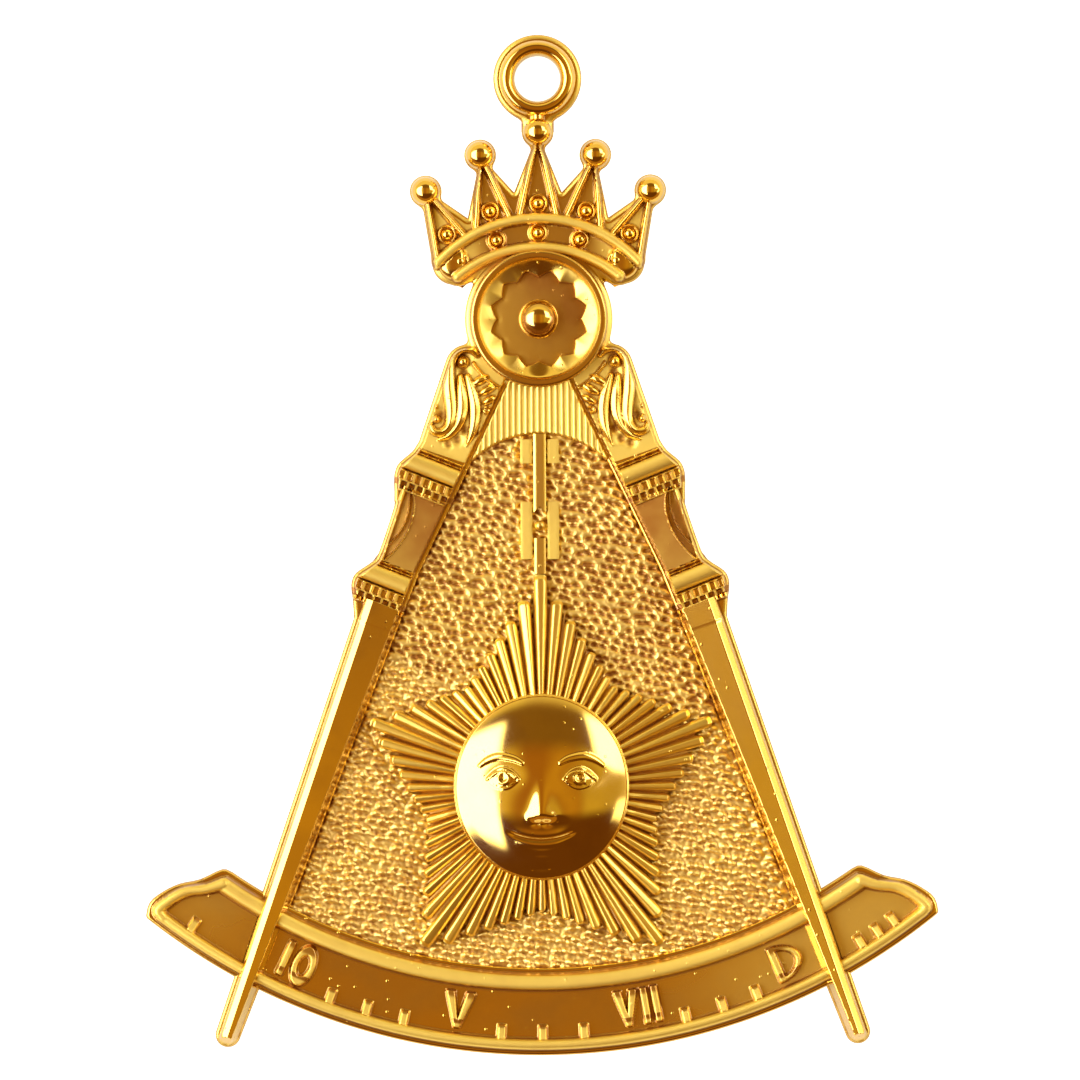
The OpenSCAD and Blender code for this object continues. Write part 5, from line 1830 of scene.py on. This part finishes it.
class JEWEL_OT_sun(bpy.types.Operator):
    """Make the domed sun with its face"""

    bl_idname = "jewel.sun"
    bl_label = "Sun"

    def execute(self, context):
        s = sizes()
        rings, columns = 132, 300
        low = s.lip_h + SEAT_GAP + STAR_PLATE_H + SEAT_GAP
        edge = low + 0.6
        obj = grid("sun", columns, rings)
        t = np.linspace(0, 1, rings + 1)
        shares = np.sin(t * math.pi / 2) * 0.5 + t * 0.5
        col, row = np.meshgrid(np.arange(columns + 1), np.arange(rings + 1))
        a = col.ravel() / columns * 2 * math.pi
        r = shares[row.ravel()]
        fx, fy = r * np.cos(a), r * np.sin(a)
        z = edge + face_height(fx, fy, s)
        # A narrow flat rim round the dome, from rim_in to rim_out and then down a little
        rim_in, rim_out = 0.972, 0.985
        dome = (z - edge) * (1 - rise(r, rim_in, rim_out))
        rim = edge - 0.05 + 0.1 * (1 - rise(r, rim_out, 1.0)) + dome
        z = np.where(r > rim_in, rim, z)
        set_coords(obj, place(s.sun_rx * fx, SUN_Y + s.sun_ry * fy, z))
        paint(obj, "satin", 0.03 + 0.3 * bell(fx, fy, 0, 1.0, 0.8, 0.16))
        weld_round(obj, low)
        finish_piece(obj, ("sun_face",), "mirror gold", 50)
        return {"FINISHED"}


# Soft boxes: left and right edge and lower and upper edge in degrees, then tone
BOX_SOFTNESS = 3.5
SOFT_BOXES = (
    ((-74, -31, -43, 42), (5.7, 5.6, 7.0)),
    ((40, 64, 12, 50), (4.6, 4.5, 5.6)),
    ((58, 76, -36, -16), (3.0, 2.9, 3.2)),
    ((67, 80, -14, 30), (4.4, 4.3, 5.2)),
)


def studio_world():
    """A studio seen in the metal, with soft boxes, brown walls and a bright horizon, and a
    plain white background for the camera."""
    world = bpy.data.worlds.new("studio")
    bpy.context.scene.world = world
    world.use_nodes = True
    tree = world.node_tree
    tree.nodes.clear()
    where = add_node(tree, "ShaderNodeTexCoord", (-1800, 0)).outputs["Generated"]
    axes = add_node(tree, "ShaderNodeSeparateXYZ", (-1600, 0))
    tree.links.new(where, axes.inputs[0])
    x, y, z = axes.outputs
    side = maths(tree, "ARCTAN2", (-1400, 200), x, z)
    upward = maths(tree, "ARCTAN2", (-1400, 0), y, z)
    tilt = maths(tree, "ARCCOSINE", (-1400, -200), z)
    deg = math.radians

    def window(value, low, high, soft, at):
        start = span(tree, at, value, deg(low - soft), deg(low + soft))
        end = span(tree, (at[0], at[1] - 150), value, deg(high - soft), deg(high + soft), 1, 0)
        return maths(tree, "MULTIPLY", (at[0] + 200, at[1]), start, end)

    # A brown room behind the camera, lighter to both sides, with a golden fill on the right
    # and dark walls above and below: edges and their softness in degrees, then tone
    sky = (0.36, 0.15, 0.02)
    for k, (direction, low, high, soft, tone) in enumerate((
        (side, 8, 24, 8, (0.52, 0.28, 0.035)),
        (side, -60, -18, 8, (0.7, 0.5, 0.1)),
        (side, 28, 88, 7, (0.58, 0.41, 0.09)),
        (upward, 24, 54, 7, (0.22, 0.115, 0.025)),
        (upward, -95, -22, 8, (0.13, 0.045, 0.006)),
    )):
        wall = window(direction, low, high, soft, (-1100, 1500 - 300 * k))
        sky = mix(tree, (-700 + 150 * k, 600), wall, sky, tone)
    # A bright horizon, dimmer towards the bottom, that starts lower above than at the sides
    lifted = maths(tree, "MULTIPLY", (-1400, 50), y, 0.13)
    lifted = maths(tree, "ADD", (-1250, 100), tilt, lifted)
    glow = span(tree, (-1100, 100), lifted, deg(57), deg(65))
    ahead = span(tree, (-1100, 0), y, -0.55, 0.0)
    ring = mix(tree, (-400, 100), ahead, (0.42, 0.19, 0.03), (0.95, 0.78, 0.42))
    sky = mix(tree, (50, 600), glow, sky, ring)
    for k, ((left, right, bottom, top), tone) in enumerate(SOFT_BOXES):
        level = -100 - 300 * k
        across = window(side, left, right, BOX_SOFTNESS, (-1100, level))
        up = window(upward, bottom, top, BOX_SOFTNESS, (-800, level))
        box = maths(tree, "MULTIPLY", (-500, level), across, up)
        sky = mix(tree, (200, level), box, sky, tone)
    seen = add_node(tree, "ShaderNodeLightPath", (0, 900)).outputs["Is Camera Ray"]
    sky = mix(tree, (350, 600), seen, sky, (1.0, 1.0, 1.0))
    back = add_node(tree, "ShaderNodeBackground", (500, 300), in_Strength=1.0)
    tree.links.new(sky, back.inputs["Color"])
    out = add_node(tree, "ShaderNodeOutputWorld", (700, 300))
    tree.links.new(back.outputs[0], out.inputs["Surface"])
    world.cycles.sampling_method = "MANUAL"
    world.cycles.sample_map_resolution = 1024


def floor_material(colour_rgb):
    """A floor that is plain white to the camera and dimmer and warmer in reflections."""
    material = bpy.data.materials.new("studio floor")
    material.use_nodes = True
    tree = material.node_tree
    shader = tree.nodes["Principled BSDF"]
    grain = add_node(tree, "ShaderNodeTexNoise", (-600, 0), in_Scale=40.0)
    tone = mix(tree, (-300, 0), grain.outputs["Fac"], colour_rgb, [0.985 * c for c in colour_rgb])
    tree.links.new(tone, shader.inputs["Base Color"])
    shader.inputs["Roughness"].default_value = 0.9
    shader.inputs["Emission Color"].default_value = (1, 0.9, 0.74, 1)
    seen = add_node(tree, "ShaderNodeLightPath", (-600, -300)).outputs["Is Camera Ray"]
    glow = span(tree, (-300, -300), seen, 0, 1, 0.5, 1.5, "LINEAR")
    tree.links.new(glow, shader.inputs["Emission Strength"])
    return material


# Height of the camera, width of its view and its place above the middle, in metres
CAMERA_Z = 0.8
VIEW_W = 95.3 * MM
CAMERA_Y = 0.44 * MM
# Lean of the photograph to the left, in degrees
LEAN = -0.34
# Width of the floor and its level just under the jewel's back, in metres
FLOOR_W = 3
FLOOR_Z = -0.0002


class JEWEL_OT_stage(bpy.types.Operator):
    """Set up the floor, the studio light and the camera"""

    bl_idname = "jewel.stage"
    bl_label = "Stage"

    def execute(self, context):
        clear_selection()
        bpy.ops.mesh.primitive_plane_add(size=FLOOR_W, location=(0, 0, FLOOR_Z))
        floor = context.active_object
        floor.name = "studio_floor"
        floor.data.materials.append(floor_material(context.scene.jewel_finish.floor))
        studio_world()
        # The camera looks straight down
        camera = bpy.data.objects.new("camera", bpy.data.cameras.new("camera"))
        context.collection.objects.link(camera)
        camera.location = (0, CAMERA_Y, CAMERA_Z)
        camera.rotation_euler = (0, 0, math.radians(LEAN))
        camera.data.lens = camera.data.sensor_width * CAMERA_Z / VIEW_W
        camera.data.clip_end = 10
        context.scene.camera = camera
        context.scene.view_settings.view_transform = "Standard"
        clear_selection()
        return {"FINISHED"}


PIECES = (
    JEWEL_OT_finishes,
    JEWEL_OT_back_plate,
    JEWEL_OT_suspension_ring,
    JEWEL_OT_crown,
    JEWEL_OT_crown_balls,
    JEWEL_OT_compass_head,
    JEWEL_OT_pivot_ball,
    JEWEL_OT_legs,
    JEWEL_OT_quadrant,
    JEWEL_OT_pebbled_field,
    JEWEL_OT_fluted_collar,
    JEWEL_OT_chain,
    JEWEL_OT_star,
    JEWEL_OT_sun,
    JEWEL_OT_stage,
)


class JEWEL_PT_panel(bpy.types.Panel):
    """Lists the jewel's pieces, sizes and finishes"""

    bl_idname = "JEWEL_PT_panel"
    bl_label = "Collar jewel"
    bl_space_type = "VIEW_3D"
    bl_region_type = "UI"
    bl_category = "Jewel"

    def draw(self, context):
        layout = self.layout
        for piece in PIECES:
            layout.operator(piece.bl_idname)
        for group in (context.scene.jewel_sizes, context.scene.jewel_finish):
            column = layout.column(align=True)
            for name in type(group).__annotations__:
                column.prop(group, name)


CLASSES = (JewelSizes, JewelFinish, *PIECES, JEWEL_PT_panel)


def register():
    for cls in CLASSES:
        bpy.utils.register_class(cls)
    bpy.types.Scene.jewel_sizes = bpy.props.PointerProperty(type=JewelSizes)
    bpy.types.Scene.jewel_finish = bpy.props.PointerProperty(type=JewelFinish)


def unregister():
    del bpy.types.Scene.jewel_finish
    del bpy.types.Scene.jewel_sizes
    for cls in reversed(CLASSES):
        bpy.utils.unregister_class(cls)


def main():
    register()
    for piece in PIECES:
        group, name = piece.bl_idname.split(".")
        getattr(getattr(bpy.ops, group), name)()


if __name__ == "__main__":
    main()
